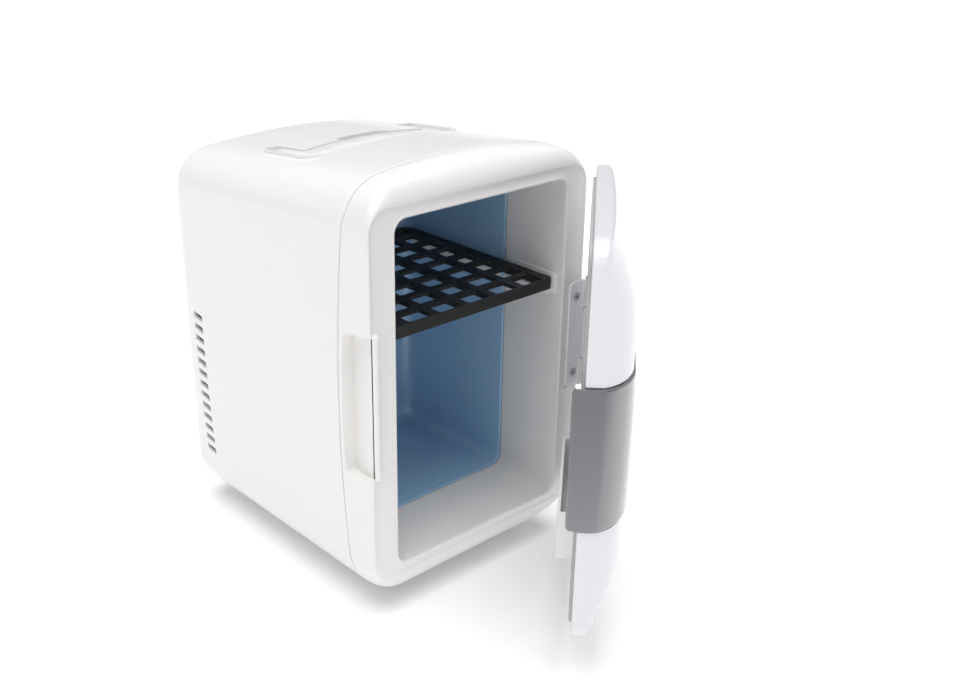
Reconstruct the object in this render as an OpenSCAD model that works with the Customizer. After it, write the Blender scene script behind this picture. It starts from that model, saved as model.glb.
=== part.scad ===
// Compact thermoelectric mini fridge: moulded cabinet with a rounded rear
// shell and a front frame, hinged pillow-shaped door with a latch handle,
// aluminium cold tub, grid shelf, carry handle and rear cooling unit.
// Millimetres, +Z up, front of the cabinet faces -Y.
// Origin: centre of the cabinet's footprint, on the plane the feet stand on.

/* [Cabinet] */
// Width of the cabinet across the bulged sides
body_w = 180; // [170:1:190]
// Width of the cabinet where the bulge dies out at top and bottom
edge_w = 168; // [164:1:172]
// Height of the cabinet body at the front, without feet
body_h = 263; // [261:1:265]
// Depth of the cabinet body from the front land to the rear wall
body_d = 203; // [201:1:206]
// Downward slope of the top towards the rear, in degrees
top_slope = 5.17; // [4.6:0.1:5.8]
// Wall thickness of the moulded shells
wall = 2.5; // [2:0.1:3]
// Depth of the front frame at the sides
frame_d = 22; // [20:1:24]

/* [Opening] */
// Width of the clear opening
open_w = 132.5; // [130:0.5:134]
// Height of the clear opening
open_h = 212; // [208:1:214]
// Depth of the cold space
cold_d = 147; // [140:1:150]
// Corner radius of the opening
open_r = 8; // [6:0.5:10]
// Depth of the white throat before the metal tub starts
throat_d = 50; // [46:1:54]

/* [Door] */
// Door width
door_w = 167; // [164:1:168]
// Door height
door_h = 228; // [224:1:230]
// Door thickness at the middle
door_t = 26; // [24:0.5:28]
// Opening angle the door stands at, in degrees
door_open = 40.8; // [20:0.2:60]
// Height of the latch handle
latch_h = 80.6; // [76:0.2:84]
// Width of the latch handle
latch_w = 68; // [60:1:70]

/* [Shelf] */
// Number of hole columns across the shelf
shelf_cols = 5; // [4:1:5]
// Number of hole rows along the shelf
shelf_rows = 8; // [6:1:8]
// Height of the shelf top above the floor of the opening
shelf_z = 147.9; // [140:0.1:150]

/* [Feet] */
// Height of the rubber feet
foot_h = 7; // [5:1:8]

/* [Hidden] */
$fn = 96;
BIG = 900;
yF = -100;                       // front land plane
yR = yF + body_d;                // rear wall plane
zB = foot_h;                     // underside of the cabinet
zT = foot_h + body_h;            // top of the crown at the front frame
zO = foot_h + 27;                // floor of the opening
zOt = zO + open_h;               // ceiling of the opening
seam = yF + frame_d;             // joint between frame and rear shell
zM = zB + 130;                   // height of the widest section
mw = body_w / 2;                 // half width at the bulge
cw = edge_w / 2;                 // half width at the corners
hs = 105;                        // half height of the bulge
Rs = (hs * hs + (mw - cw) * (mw - cw)) / (2 * (mw - cw));
rB = 32;                         // bottom corner radius
rT = 28;                         // top corner radius
xC = cw - 27.1;                  // half width of the crown
xB = cw - 31.2;                  // centre of the bottom corners
dC = 4;                          // crown drop
Rc = (xC * xC + dC * dC) / (2 * dC);
ow = open_w / 2;
yTub = yF + throat_d;            // front of the metal tub
yBack = yF + cold_d;             // inner face of the tub's rear wall
dz0 = zO - 6;                    // bottom edge of the door
dz1 = dz0 + door_h;              // top edge of the door
dzc = (dz0 + dz1) / 2;           // mid height of the door
dw = door_w / 2;
yD = yF - 2.5;                   // inner plane of the closed door
yS = yD - 2;                     // rear rim plane of the door shell
yO = yD - door_t;                // outermost plane of the closed door
px = 89;                         // hinge pin position, X
py = yF - 2.25;                  // hinge pin position, Y
lz0 = dzc - latch_h / 2;         // latch handle, bottom
lz1 = dzc + latch_h / 2;         // latch handle, top
lx = -74;                        // latch pin position, X
ly = -120.2;                     // latch pin position, Y
sT = zO + shelf_z;               // shelf top
hy = 30;                         // carry handle axis, Y
hp = -6.8;                       // carry handle axis below the crest
zTop = function (y) zT - (y - seam) * tan(top_slope); // crown height along Y
fz = 140;                        // height of the fan centre

// ---------- helpers ----------

// Extrude a flat X-Z drawing between two Y planes
module along_y(y0, y1) translate([0, y1, 0]) rotate([90, 0, 0]) linear_extrude(y1 - y0) children();
// Extrude a flat Y-Z drawing between two X planes
module along_x(x0, x1) translate([x0, 0, 0]) rotate([90, 0, 90]) linear_extrude(x1 - x0) children();
// Box from low corner to high corner
module span(a, b) translate(a) cube([b[0] - a[0], b[1] - a[1], b[2] - a[2]]);
// Rounded rectangle from low corner to high corner
module rrect(a, b, r) union() {
  translate([a[0] + r, a[1]]) square([b[0] - a[0] - 2 * r, b[1] - a[1]]);
  translate([a[0], a[1] + r]) square([b[0] - a[0], b[1] - a[1] - 2 * r]);
  for (x = [a[0] + r, b[0] - r], y = [a[1] + r, b[1] - r]) translate([x, y]) circle(r);
}
// Waste of an outside corner rounded about (x, y); sx, sy point outwards
module corner_cut(x, y, r, sx, sy, w = 60) difference() {
  translate([sx > 0 ? x : x - w, sy > 0 ? y : y - w]) square([w, w]);
  translate([x, y]) circle(r);
}
// Pin or hole along X, Y
module rod_x(x0, x1, y, z, r) translate([x0, y, z]) rotate([0, 90, 0]) cylinder(r = r, h = x1 - x0);
module rod_y(y0, y1, x, z, r) translate([x, y1, z]) rotate([90, 0, 0]) cylinder(r = r, h = y1 - y0);
// Countersunk cross-head screw along +Y, head at y
module screw_y(x, y, z, rs, rh, len) difference() {
  union() {
    translate([x, y, z]) rotate([-90, 0, 0]) cylinder(r1 = rh, r2 = rs, h = rh - rs);
    rod_y(y + 0.01, y + len, x, z, rs);
  }
  span([x - rh * 0.55, y - 1, z - rh * 0.13], [x + rh * 0.55, y + rh * 0.4, z + rh * 0.13]);
  span([x - rh * 0.13, y - 1, z - rh * 0.55], [x + rh * 0.13, y + rh * 0.4, z + rh * 0.55]);
}
// Put closed-door geometry at the angle the door stands at
module door_pose() translate([px, py, 0]) rotate([0, 0, door_open]) translate([-px, -py, 0]) children();

// ---------- cabinet form ----------

// Front outline of the cabinet, offset inwards by o, open upwards
module side_outline(o) union() {
  polygon([[-xB, zB + o], [xB, zB + o], [cw - 0.6 - o, zB + rB - 2], [cw - 1.3 - o, zM + hs],
    [cw - 1.3 - o, 330], [-(cw - 1.3 - o), 330], [-(cw - 1.3 - o), zM + hs], [-(cw - 0.6 - o), zB + rB - 2]]);
  for (s = [-1, 1]) translate([s * xB, zB + rB]) circle(rB - o);
  for (s = [-1, 1]) intersection() {
    translate([s * (mw - Rs), zM]) circle(Rs - o, $fn = BIG);
    translate([s > 0 ? 0 : -mw - 1, zB + rB - 3]) square([mw + 1, 216]);
  }
}
// Crowned top, extruded along Y from y0 to y1, its crest at the origin
module crown_form(o, y0, y1) union() {
  along_y(y0, y1) polygon([[-xC - 2, -dC - 5 - o], [xC + 2, -dC - 5 - o], [xC + rT - 0.1 - o, -dC - rT - 1], [mw + 1 - o, zM - zT],
    [mw + 1 - o, -330], [-(mw + 1 - o), -330], [-(mw + 1 - o), zM - zT], [-(xC + rT - 0.1 - o), -dC - rT - 1]]);
  for (s = [-1, 1]) along_y(y0, y1) translate([s * xC, -dC - rT]) circle(rT - o);
  along_y(y0, y1) intersection() {
    translate([0, -Rc]) circle(Rc - o, $fn = BIG);
    translate([-xC, -9 - o]) square([2 * xC, 20]);
  }
}
// Side profile: sloped top is cut by the crown, corners rounded here
module side_profile(o, f) difference() {
  translate([yF + f, zB - 1]) square([body_d - f - o, body_h + 20]);
  corner_cut(yF + 19.5, zTop(yF + 19.5) - 20, 20 - o, -1, 1);
  corner_cut(yF + 23.5, zB + 24, 24 - o, -1, -1);
  corner_cut(yR - 20, zTop(yR - 20) - 20, 20 - o, 1, 1);
  corner_cut(yR - 20, zB + 20, 20 - o, 1, -1);
}
// Plan profile with the slight taper to the rear
module plan_profile(o, f) difference() {
  polygon([[-(mw + 1 - o), yF + f], [mw + 1 - o, yF + f], [mw + 1 - o, seam],
    [mw - 3 - o, yR - o], [-(mw - 3 - o), yR - o], [-(mw + 1 - o), seam]]);
  for (s = [-1, 1]) {
    corner_cut(s * (mw - 16), yF + 12.5, 16 - o, s, -1);
    corner_cut(s * (mw - 22.6), yR - 20, 20 - o, s, 1);
  }
}
// Whole cabinet form, offset inwards by o, front plane moved in by f
module body_form(o, f) intersection() {
  along_y(yF - 5, yR + 5) side_outline(o);
  translate([0, seam, zT]) rotate([-top_slope, 0, 0]) crown_form(o, -60, 210);
  along_x(-100, 100) side_profile(o, f);
  translate([0, 0, -5]) linear_extrude(300) plan_profile(o, f);
}
module opening2d(g, r) rrect([-ow - g, zO - g], [ow + g, zOt + g], r);

// Recess in the top that the folded carry handle lies in
module handle_well(g, b) translate([0, hy, zTop(hy)]) rotate([-top_slope, 0, 0]) {
  // U-shaped channel with a wider finger scoop in the middle
  difference() {
    span([-57 - g, -43 - g, -10.6 - b], [57 + g, 5.2 + g, 12]);
    span([-45.6 + g, -20.7 + g, -30], [45.6 - g, 7.5 + g, 20]);
  }
  span([-18 - g, -26 - g, -10.6 - b], [18 + g, -14.6 + g, 12]);
}

// Row of slanted vents on both sides
module side_vents() for (i = [0:12]) for (s = [-1, 1])
  along_x(s > 0 ? 60 : -100, s > 0 ? 100 : -60)
    polygon([[69.5, 45.4 + i * 8.07], [79.5, 46.9 + i * 8.07], [79.5, 51.1 + i * 8.07], [69.5, 49.6 + i * 8.07]]);

// ---------- cabinet pieces ----------

module front_frame() color([0.95, 0.95, 0.94]) difference() {
  union() {
    difference() {
      intersection() {
        body_form(0, 0);
        span([-100, yF - 1, 0], [100, seam, 300]);
      }
      intersection() {
        body_form(wall, 2.8);
        span([-100, yF, 0], [100, seam + 1, 300]);
      }
    }
    // tongue that laps inside the rear shell
    difference() {
      union() {
        intersection() {
          body_form(wall + 0.1, 2.8);
          span([-100, seam - 3, 0], [100, seam + 5, 300]);
        }
        intersection() {
          body_form(wall - 0.4, 2.8);
          span([-100, seam - 3, 0], [100, seam - 0.1, 300]);
        }
      }
      intersection() {
        body_form(wall + 1.9, 2.8);
        span([-100, seam - 4, 0], [100, seam + 6, 300]);
      }
    }
    // walls of the latch pocket
    intersection() {
      body_form(1, 1);
      span([-95, yF + 0.5, lz0 - 6.3], [-75.5, yF + 20.2, lz1 + 6.3]);
    }
    // catch rib, slightly proud of the land
    span([-82.4, yF - 1.9, lz0 - 3.5], [-78.6, yF + 1.5, lz1 + 3.5]);
    for (z = [lz0 - 3.5, lz1 + 3.5]) rod_y(yF - 1.9, yF + 1.5, -80.5, z, 1.9);
    // screw bosses behind the hinge leaf
    for (z = [dzc - 26, dzc + 26]) rod_y(yF + 1, yF + 12, 79.5, z, 4);
  }
  // opening
  along_y(yF - 5, yF + 4) opening2d(2.1, open_r + 2);
  // shallow recessed land, its edge is the visible crease
  difference() {
    along_y(yF - 0.1, yF + 1) rrect([-82.6, zO - 8], [82.6, zT - 15.2], 15);
    span([-84, yF - 3, lz0 - 5.4], [-78.5, yF + 3, lz1 + 5.4]);
  }
  // latch pocket behind the rib
  difference() {
    along_x(-100, -77.6) rrect([yF + 1.5, lz0 - 4.3], [yF + 18.2, lz1 + 4.3], 6);
    span([-82.4, yF - 3, lz0 - 8], [-70, yF + 1.5, lz1 + 8]);
  }
  span([-100, yF - 3, lz0 - 3.2], [-82.4, yF + 4, lz1 + 3.2]);
  // seat and screw holes of the hinge leaf
  span([72.8, yF - 5, dzc - 36.2], [95, yF + 1, dzc + 36.2]);
  for (z = [dzc - 26, dzc + 26]) rod_y(yF - 1, yF + 10.5, 79.5, z, 1.25);
}

module rear_shell() color([0.96, 0.96, 0.96]) difference() {
  union() {
    difference() {
      intersection() {
        body_form(0, 0);
        span([-100, seam + 0.35, 0], [100, yR + 1, 300]);
      }
      intersection() {
        body_form(wall, 0);
        span([-100, seam - 1, 0], [100, yR + 1, 300]);
      }
    }
    // floor and walls of the handle well
    intersection() {
      body_form(0.5, 0);
      handle_well(2.2, 1.5);
    }
    // foot bosses
    for (x = [-40, 40], y = [-60, 74]) translate([x, y, zB]) cylinder(r = 6, h = 9);
    // rear cover bosses
    for (x = [-66, 66], z = [50, 130, 212]) rod_y(yR - 10, yR - 0.5, x, z, 4);
    for (x = [-66, 66], z = [50, 130, 212]) span([min(x, x * 1.12), yR - 10, z - 1], [max(x, x * 1.12), yR - 0.5, z + 1]);
  }
  handle_well(0, 0);
  // handle pin bores
  translate([0, hy, zTop(hy)]) rotate([-top_slope, 0, 0]) for (s = [-1, 1])
    rod_x(s > 0 ? 56 : -59.5, s > 0 ? 59.5 : -56, 0, hp, 2.2);
  side_vents();
  // rear service opening
  along_y(yR - 5, yR + 5) rrect([-60, 28], [60, 224], 10);
  for (x = [-66, 66], z = [50, 130, 212]) rod_y(yR - 9, yR + 1, x, z, 1.3);
  for (x = [-40, 40], y = [-60, 74]) translate([x, y, zB - 1]) cylinder(r = 1.6, h = 9);
}

module rear_cover() color([0.93, 0.93, 0.93]) difference() {
  union() {
    along_y(yR, yR + 2.5) rrect([-74, 22], [74, 230], 11);
    along_y(yR - 2, yR + 1) difference() {
      rrect([-59.4, 28.6], [59.4, 223.4], 9.4);
      rrect([-57.4, 30.6], [57.4, 221.4], 7.4);
    }
    // raised ring round the fan grille
    rod_y(yR + 2, yR + 4, 0, fz, 43);
    // fan posts
    for (x = [-36, 36], z = [fz - 36, fz + 36]) rod_y(yR - 3.4, yR + 1, x, z, 3.6);
  }
  // ring slots of the fan grille, bridged by four spokes
  for (r = [10, 17, 24, 31, 38]) difference() {
    rod_y(yR - 5, yR + 6, 0, fz, r);
    rod_y(yR - 6, yR + 7, 0, fz, r - 4.4);
    for (a = [45, 135]) translate([0, yR, fz]) rotate([0, a, 0]) cube([4, 20, 100], center = true);
  }
  // inlet louvres above and below the fan
  for (i = [0:5], s = [-1, 1]) span([s > 0 ? 6 : -50, yR - 5, 192 + i * 5], [s > 0 ? 50 : -6, yR + 5, 194.4 + i * 5]);
  for (i = [0:2], s = [-1, 1]) span([s > 0 ? 6 : -50, yR - 5, 76 + i * 5], [s > 0 ? 50 : -6, yR + 5, 78.4 + i * 5]);
  // socket and switch cut-outs
  along_y(yR - 5, yR + 5) rrect([-47.1, 44.4], [-22.9, 57.6], 3);
  rod_y(yR - 5, yR + 5, 0, 51, 6.1);
  along_y(yR - 5, yR + 5) rrect([21.8, 43.8], [44.2, 58.2], 1);
  for (x = [-9, 9]) rod_y(yR - 5, yR + 5, x, 66, 1.6);
  // screw holes
  for (x = [-66, 66], z = [50, 130, 212]) {
    rod_y(yR - 1, yR + 5, x, z, 1.7);
    rod_y(yR + 1.2, yR + 5, x, z, 3.4);
  }
  for (x = [-36, 36], z = [fz - 36, fz + 36]) {
    rod_y(yR - 5, yR + 5, x, z, 1.5);
    rod_y(yR + 1.2, yR + 5, x, z, 3.1);
  }
}

module front_liner() color([0.88, 0.88, 0.88]) union() {
  difference() {
    union() {
      along_y(yF - 0.5, yTub) opening2d(2, open_r + 2);
      // rolled lip round the opening
      along_y(yF - 0.6, yF + 0.9) opening2d(2.05, open_r + 2.05);
      // rear flange that clamps the tub
      along_y(yTub - 2, yTub) opening2d(8, open_r + 8);
    }
    along_y(yF - 3, yTub + 1) opening2d(0, open_r);
  }
  // shelf ledges, rounded at the front
  for (s = [-1, 1]) {
    span([min(s * (ow + 1), s * (ow - 4.2)), yF + 9, sT - 11.2], [max(s * (ow + 1), s * (ow - 4.2)), yTub - 2.2, sT - 7.15]);
    span([min(s * (ow + 1), s * (ow - 1)), yF + 5, sT - 10.5], [max(s * (ow + 1), s * (ow - 1)), yTub - 2.2, sT + 3]);
  }
}

module cold_tub() color([0.30, 0.42, 0.55]) difference() {
  union() {
    along_y(yTub + 0.6, yBack + 1.2) opening2d(0.7, open_r + 1.2);
    along_y(yTub + 0.6, yTub + 1.8) opening2d(8, open_r + 8);
  }
  along_y(yTub - 1, yBack) opening2d(-0.5, open_r);
  for (s = [-1, 1], y = [yTub + 14, yBack - 16]) rod_x(s > 0 ? ow - 5 : -ow - 5, s > 0 ? ow + 5 : -ow + 5, y, sT - 10.7, 1.5);
}

module tub_seal() color([0.16, 0.16, 0.17]) difference() {
  along_y(yTub + 0.05, yTub + 0.55) opening2d(7, open_r + 7);
  along_y(yTub - 1, yTub + 2) opening2d(0.3, open_r);
}

module cabinet_foam() color([0.97, 0.97, 0.95]) difference() {
  union() {
    intersection() {
      body_form(wall + 0.4, 3.2);
      span([-100, yF + 3.2, 0], [100, yBack + 15, 300]);
    }
    span([-60, -70, 60], [60, yBack + 14.9, 235]);
  }
  // step for the frame's tongue
  difference() {
    span([-100, seam - 3.5, 0], [100, seam + 6, 300]);
    intersection() {
      body_form(wall + 2.3, 3.2);
      span([-100, seam - 5, 0], [100, seam + 8, 300]);
    }
  }
  along_y(yF - 1, yTub + 1) opening2d(2.4, open_r + 2.4);
  along_y(yTub - 2.4, yTub + 2.1) opening2d(8.4, open_r + 8.4);
  along_y(yTub, yBack + 1.5) opening2d(1.1, open_r + 1.1);
  // clearances: latch pocket, hinge bosses, shelf rails, cold block
  span([-100, yF, lz0 - 7], [-75, yF + 21, lz1 + 7]);
  for (z = [dzc - 26, dzc + 26]) rod_y(yF, yF + 13, 79.5, z, 4.6);
  for (s = [-1, 1], y = [yTub + 14, yBack - 16]) rod_x(s > 0 ? ow - 5 : -ow - 6, s > 0 ? ow + 6 : -ow + 5, y, sT - 10.7, 3.4);
  for (s = [-1, 1]) span([min(s * (ow + 0.5), s * (ow + 2.5)), yF + 4, sT - 12], [max(s * (ow + 0.5), s * (ow + 2.5)), yTub, sT + 4]);
  span([-20.8, yBack, fz - 20.8], [20.8, yBack + 20, fz + 20.8]);
  for (x = [-29, 29], z = [fz - 29, fz + 29]) rod_y(yBack + 2, yBack + 20, x, z, 2.2);
  handle_well(2.9, 2.1);
  for (x = [-40, 40], y = [-60, 74]) translate([x, y, zB]) cylinder(r = 6.6, h = 10);
}

// Two moulded rails that carry the rear part of the shelf inside the tub
module shelf_rails() color([0.86, 0.88, 0.90]) for (s = [-1, 1]) difference() {
  union() {
    span([min(s * (ow - 0.55), s * (ow - 4.2)), yTub + 4, sT - 14.2], [max(s * (ow - 0.55), s * (ow - 4.2)), yBack - 8, sT - 7.15]);
    for (y = [yTub + 14, yBack - 16]) rod_x(s > 0 ? ow - 1 : -ow - 3.4, s > 0 ? ow + 3.4 : -ow + 1, y, sT - 10.7, 1.45);
    for (y = [yTub + 14, yBack - 16]) rod_x(s > 0 ? ow + 1.3 : -ow - 3.4, s > 0 ? ow + 3.4 : -ow - 1.3, y, sT - 10.7, 2.6);
  }
}

module shelf() color([0.09, 0.09, 0.09]) difference() {
  union() {
    translate([0, 0, sT - 2.4]) linear_extrude(2.4) rrect([-65, yF + 7], [65, yBack - 0.7], 3);
    // deeper lip along the front and both side edges
    translate([0, 0, sT - 7]) linear_extrude(5) difference() {
      rrect([-65, yF + 7], [65, yBack - 0.7], 3);
      rrect([-62.6, yF + 9], [62.6, yBack - 2.7], 2);
    }
    // two low ribs that keep the thin grid flat
    for (x = [4.8 - 11.3, 4.8 + 11.3]) span([x - 1, yF + 8, sT - 4.6], [x + 1, yBack - 1.7, sT - 1]);
  }
  for (i = [0:shelf_cols - 1], j = [0:shelf_rows - 1])
    translate([4.8 + (i - (shelf_cols - 1) / 2) * 22.6, yF + 15.1 + j * 17.6, sT - 10])
      linear_extrude(20) rrect([-8.4, -6.3], [8.4, 6.3], 1.2);
}

// ---------- cooling unit ----------

module cold_block() color([0.75, 0.76, 0.78]) difference() {
  span([-20, yBack + 1.25, fz - 20], [20, yBack + 13, fz + 20]);
  for (x = [-14, 14], z = [fz - 14, fz + 14]) rod_y(yBack, yBack + 8, x, z, 1.6);
}
module peltier() color([0.92, 0.92, 0.90]) union() {
  span([-20, yBack + 13.02, fz - 20], [20, yBack + 13.8, fz + 20]);
  span([-20, yBack + 16.1, fz - 20], [20, yBack + 16.85, fz + 20]);
  for (i = [0:8], j = [0:8]) span([-19 + i * 4.3, yBack + 13.7, fz - 19 + j * 4.3], [-16.4 + i * 4.3, yBack + 16.2, fz - 16.4 + j * 4.3]);
}
module peltier_seal() color([0.15, 0.15, 0.15]) difference() {
  along_y(yBack + 15.02, yBack + 16.8) rrect([-27, fz - 27], [27, fz + 27], 2);
  span([-20.6, yBack + 10, fz - 20.6], [20.6, yBack + 20, fz + 20.6]);
}
module heatsink() color([0.62, 0.63, 0.65]) difference() {
  union() {
    span([-45, yBack + 16.9, fz - 42], [45, yBack + 21.9, fz + 42]);
    for (i = [0:17]) span([-44.6 + i * 5.18, yBack + 21.8, fz - 42], [-43.4 + i * 5.18, yBack + 36.6, fz + 42]);
  }
  for (x = [-29, 29], z = [fz - 29, fz + 29]) {
    rod_y(yBack + 10, yBack + 25, x, z, 1.65);
    rod_y(yBack + 21.9, yBack + 40, x, z, 4);
  }
}
module heatsink_screws() color([0.7, 0.7, 0.72]) for (x = [-29, 29], z = [fz - 29, fz + 29]) union() {
  rod_y(yBack + 4, yBack + 22, x, z, 1.55);
  difference() {
    rod_y(yBack + 21.95, yBack + 24, x, z, 3);
    span([x - 1.8, yBack + 23.1, z - 0.4], [x + 1.8, yBack + 26, z + 0.4]);
    span([x - 0.4, yBack + 23.1, z - 1.8], [x + 0.4, yBack + 26, z + 1.8]);
  }
}
yFan = 84.4;
module fan_frame() color([0.12, 0.12, 0.13]) union() {
  difference() {
    along_y(yFan, yFan + 15) rrect([-40, fz - 40], [40, fz + 40], 5);
    rod_y(yFan - 1, yFan + 16, 0, fz, 38);
    for (x = [-36, 36], z = [fz - 36, fz + 36]) rod_y(yFan - 1, yFan + 16, x, z, 1.9);
    // flange relief between the corner posts
    for (a = [0:90:270]) translate([0, yFan + 7.5, fz]) rotate([0, a, 0]) translate([0, 0, 42]) cube([52, 9, 7.4], center = true);
  }
  // motor seat held by four arms
  difference() {
    rod_y(yFan, yFan + 2, 0, fz, 15);
    rod_y(yFan - 1, yFan + 5, 0, fz, 1.55);
  }
  for (a = [25:90:300]) translate([0, yFan + 1, fz]) rotate([0, a, 0]) translate([0, 0, 26.6]) cube([3.6, 2, 24], center = true);
  rod_ring();
}
// bearing tube of the motor seat
module rod_ring() difference() {
  rod_y(yFan + 1, yFan + 9, 0, fz, 3.4);
  rod_y(yFan - 1, yFan + 12, 0, fz, 1.55);
}
module fan_rotor() color([0.14, 0.14, 0.15]) union() {
  difference() {
    rod_y(yFan + 2.6, yFan + 14, 0, fz, 15);
    rod_y(yFan + 1, yFan + 12.4, 0, fz, 13.4);
  }
  rod_y(yFan + 1.2, yFan + 13, 0, fz, 1.5);
  intersection() {
    for (a = [0:360 / 7:359]) translate([0, yFan + 8.3, fz]) rotate([0, a, 0]) translate([0, 0, 25.5]) rotate([0, 0, 38]) cube([17, 1.2, 22.5], center = true);
    difference() {
      rod_y(yFan + 2.7, yFan + 13.9, 0, fz, 36.8);
      rod_y(yFan + 2, yFan + 14.5, 0, fz, 14.2);
    }
  }
}
module fan_screws() color([0.7, 0.7, 0.72]) for (x = [-36, 36], z = [fz - 36, fz + 36]) union() {
  rod_y(yFan + 2, yR + 1.3, x, z, 1.4);
  difference() {
    rod_y(yR + 1.2, yR + 2.9, x, z, 2.8);
    span([x - 1.7, yR + 2.2, z - 0.35], [x + 1.7, yR + 5, z + 0.35]);
    span([x - 0.35, yR + 2.2, z - 1.7], [x + 0.35, yR + 5, z + 1.7]);
  }
}
module power_board() color([0.10, 0.35, 0.18]) difference() {
  span([-50, 66, 14], [50, 67.6, 66]);
  for (x = [-46, 46], z = [18, 62]) rod_y(65, 70, x, z, 1.6);
}
module power_parts() color([0.55, 0.45, 0.2]) union() {
  // mounted in one row on the board: transformer, capacitors, chokes, coolers
  span([-12, 67.65, 22], [12, 84, 44]);
  span([-15, 67.65, 25], [15, 80, 41]);
  for (x = [-36, 24]) rod_y(67.65, 84, x, 30, 6.3);
  rod_y(67.65, 78, 38, 28, 4);
  difference() {
    rod_y(67.65, 74, -34, 50, 8);
    rod_y(60, 80, -34, 50, 3.4);
  }
  for (i = [0:3]) span([-8 + i * 8, 67.65, 52], [-5 + i * 8, 82, 64]);
  span([30, 67.65, 44], [44, 73, 60]);
}
module ac_inlet() color([0.08, 0.08, 0.08]) difference() {
  union() {
    along_y(yR + 2.5, yR + 4.5) rrect([-49, 42.6], [-21, 59.4], 4);
    along_y(yR - 14, yR + 3) rrect([-47, 44.5], [-23, 57.5], 2.9);
  }
  // figure-eight socket well
  rod_y(yR - 10, yR + 6, -38.7, 51, 4.5);
  rod_y(yR - 10, yR + 6, -31.3, 51, 4.5);
}
module ac_pins() color([0.8, 0.78, 0.7]) for (x = [-39, -31]) rod_y(yR - 10, yR + 2, x, 51, 1.2);
module dc_socket() color([0.08, 0.08, 0.08]) union() {
  difference() {
    union() {
      rod_y(yR - 12, yR + 2.6, 0, 51, 6);
      rod_y(yR + 2.5, yR + 4.2, 0, 51, 7.6);
    }
    rod_y(yR - 8, yR + 6, 0, 51, 3.6);
  }
  rod_y(yR - 9, yR + 2.4, 0, 51, 1.05);
}
module switch_housing() color([0.08, 0.08, 0.08]) difference() {
  union() {
    along_y(yR + 2.5, yR + 4) rrect([20, 42], [46, 60], 1.5);
    along_y(yR - 12, yR + 3) rrect([22, 44], [44, 58], 0.9);
  }
  span([24, yR - 8, 45.4], [42, yR + 6, 56.6]);
  rod_x(22.8, 43.2, yR + 0.6, 51, 1.26);
}
// Rocker, tips about a cross pin: cool, off, warm
module mode_switch() color([0.14, 0.14, 0.14]) union() {
  intersection() {
    span([24.3, yR - 8, 46.6], [41.7, yR + 8, 55.4]);
    difference() {
      rod_x(24.3, 41.7, yR + 0.6, 51, 6.2);
      // shallow valley across the rocker face
      rod_x(20, 45, yR + 16.6, 51, 11.2);
    }
  }
  rod_x(23.1, 42.9, yR + 0.6, 51, 1.2);
}
module led_cool() color([0.2, 0.8, 0.3]) union() {
  rod_y(yR - 4, yR + 2.6, -9, 66, 1.5);
  translate([-9, yR + 2.6, 66]) sphere(1.5);
}
module led_warm() color([0.85, 0.15, 0.12]) union() {
  rod_y(yR - 4, yR + 2.6, 9, 66, 1.5);
  translate([9, yR + 2.6, 66]) sphere(1.5);
}
module cover_screws() color([0.7, 0.7, 0.72]) for (x = [-66, 66], z = [50, 130, 212]) union() {
  rod_y(yR - 8, yR + 1.3, x, z, 1.25);
  difference() {
    rod_y(yR + 1.2, yR + 2.9, x, z, 3);
    span([x - 1.9, yR + 2.2, z - 0.4], [x + 1.9, yR + 5, z + 0.4]);
    span([x - 0.4, yR + 2.2, z - 1.9], [x + 0.4, yR + 5, z + 1.9]);
  }
}

// ---------- feet ----------

module foot(x, y) color([0.82, 0.82, 0.80]) difference() {
  translate([x, y, 0]) cylinder(r1 = 8.2, r2 = 9.8, h = foot_h);
  translate([x, y, -1]) cylinder(r = 4, h = 4);
  translate([x, y, 0]) cylinder(r = 1.7, h = foot_h + 1);
}
module foot_front_left() foot(-40, -60);
module foot_front_right() foot(40, -60);
module foot_rear_left() foot(-40, 74);
module foot_rear_right() foot(40, 74);
module foot_screws() color([0.7, 0.7, 0.72]) for (x = [-40, 40], y = [-60, 74]) difference() {
  union() {
    translate([x, y, 1.2]) cylinder(r = 3.4, h = 1.8);
    translate([x, y, 2.9]) cylinder(r = 1.55, h = 11);
  }
  translate([x - 2, y - 0.4, 0]) cube([4, 0.8, 2]);
  translate([x - 0.4, y - 2, 0]) cube([0.8, 4, 2]);
}

// ---------- carry handle ----------

// U-shaped handle in its folded place, its upper face in line with the crown
module carry_handle() color([0.95, 0.95, 0.95]) difference() {
  intersection() {
    body_form(0.5, 0);
    translate([0, hy, zTop(hy)]) rotate([-top_slope, 0, 0]) union() {
      translate([0, 0, -10.1]) linear_extrude(14) difference() {
        union() {
          rrect([-56.2, -42.2], [56.2, -8], 8);
          for (s = [-1, 1]) translate([s > 0 ? 46.4 : -56.2, -30]) square([9.8, 30]);
        }
        rrect([-46.4, -21.9], [46.4, 40], 1.5);
      }
      for (s = [-1, 1]) rod_x(s > 0 ? 46.4 : -56.2, s > 0 ? 56.2 : -46.4, 0, hp, 3.2);
    }
  }
  translate([0, hy, zTop(hy)]) rotate([-top_slope, 0, 0]) {
    for (s = [-1, 1]) rod_x(s > 0 ? 46 : -57, s > 0 ? 57 : -46, 0, hp, 1.55);
    // hollowed underside of the grip
    translate([0, -32, -12]) linear_extrude(8.6) rrect([-44, -7.4], [44, 7.4], 4);
  }
}
module handle_pins() color([0.72, 0.72, 0.74]) translate([0, hy, zTop(hy)]) rotate([-top_slope, 0, 0])
  for (s = [-1, 1]) union() {
    rod_x(s > 0 ? 47 : -59.3, s > 0 ? 59.3 : -47, 0, hp, 1.5);
    rod_x(s > 0 ? 57 : -59.3, s > 0 ? 59.3 : -57, 0, hp, 2.18);
  }

// ---------- hinge ----------

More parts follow.
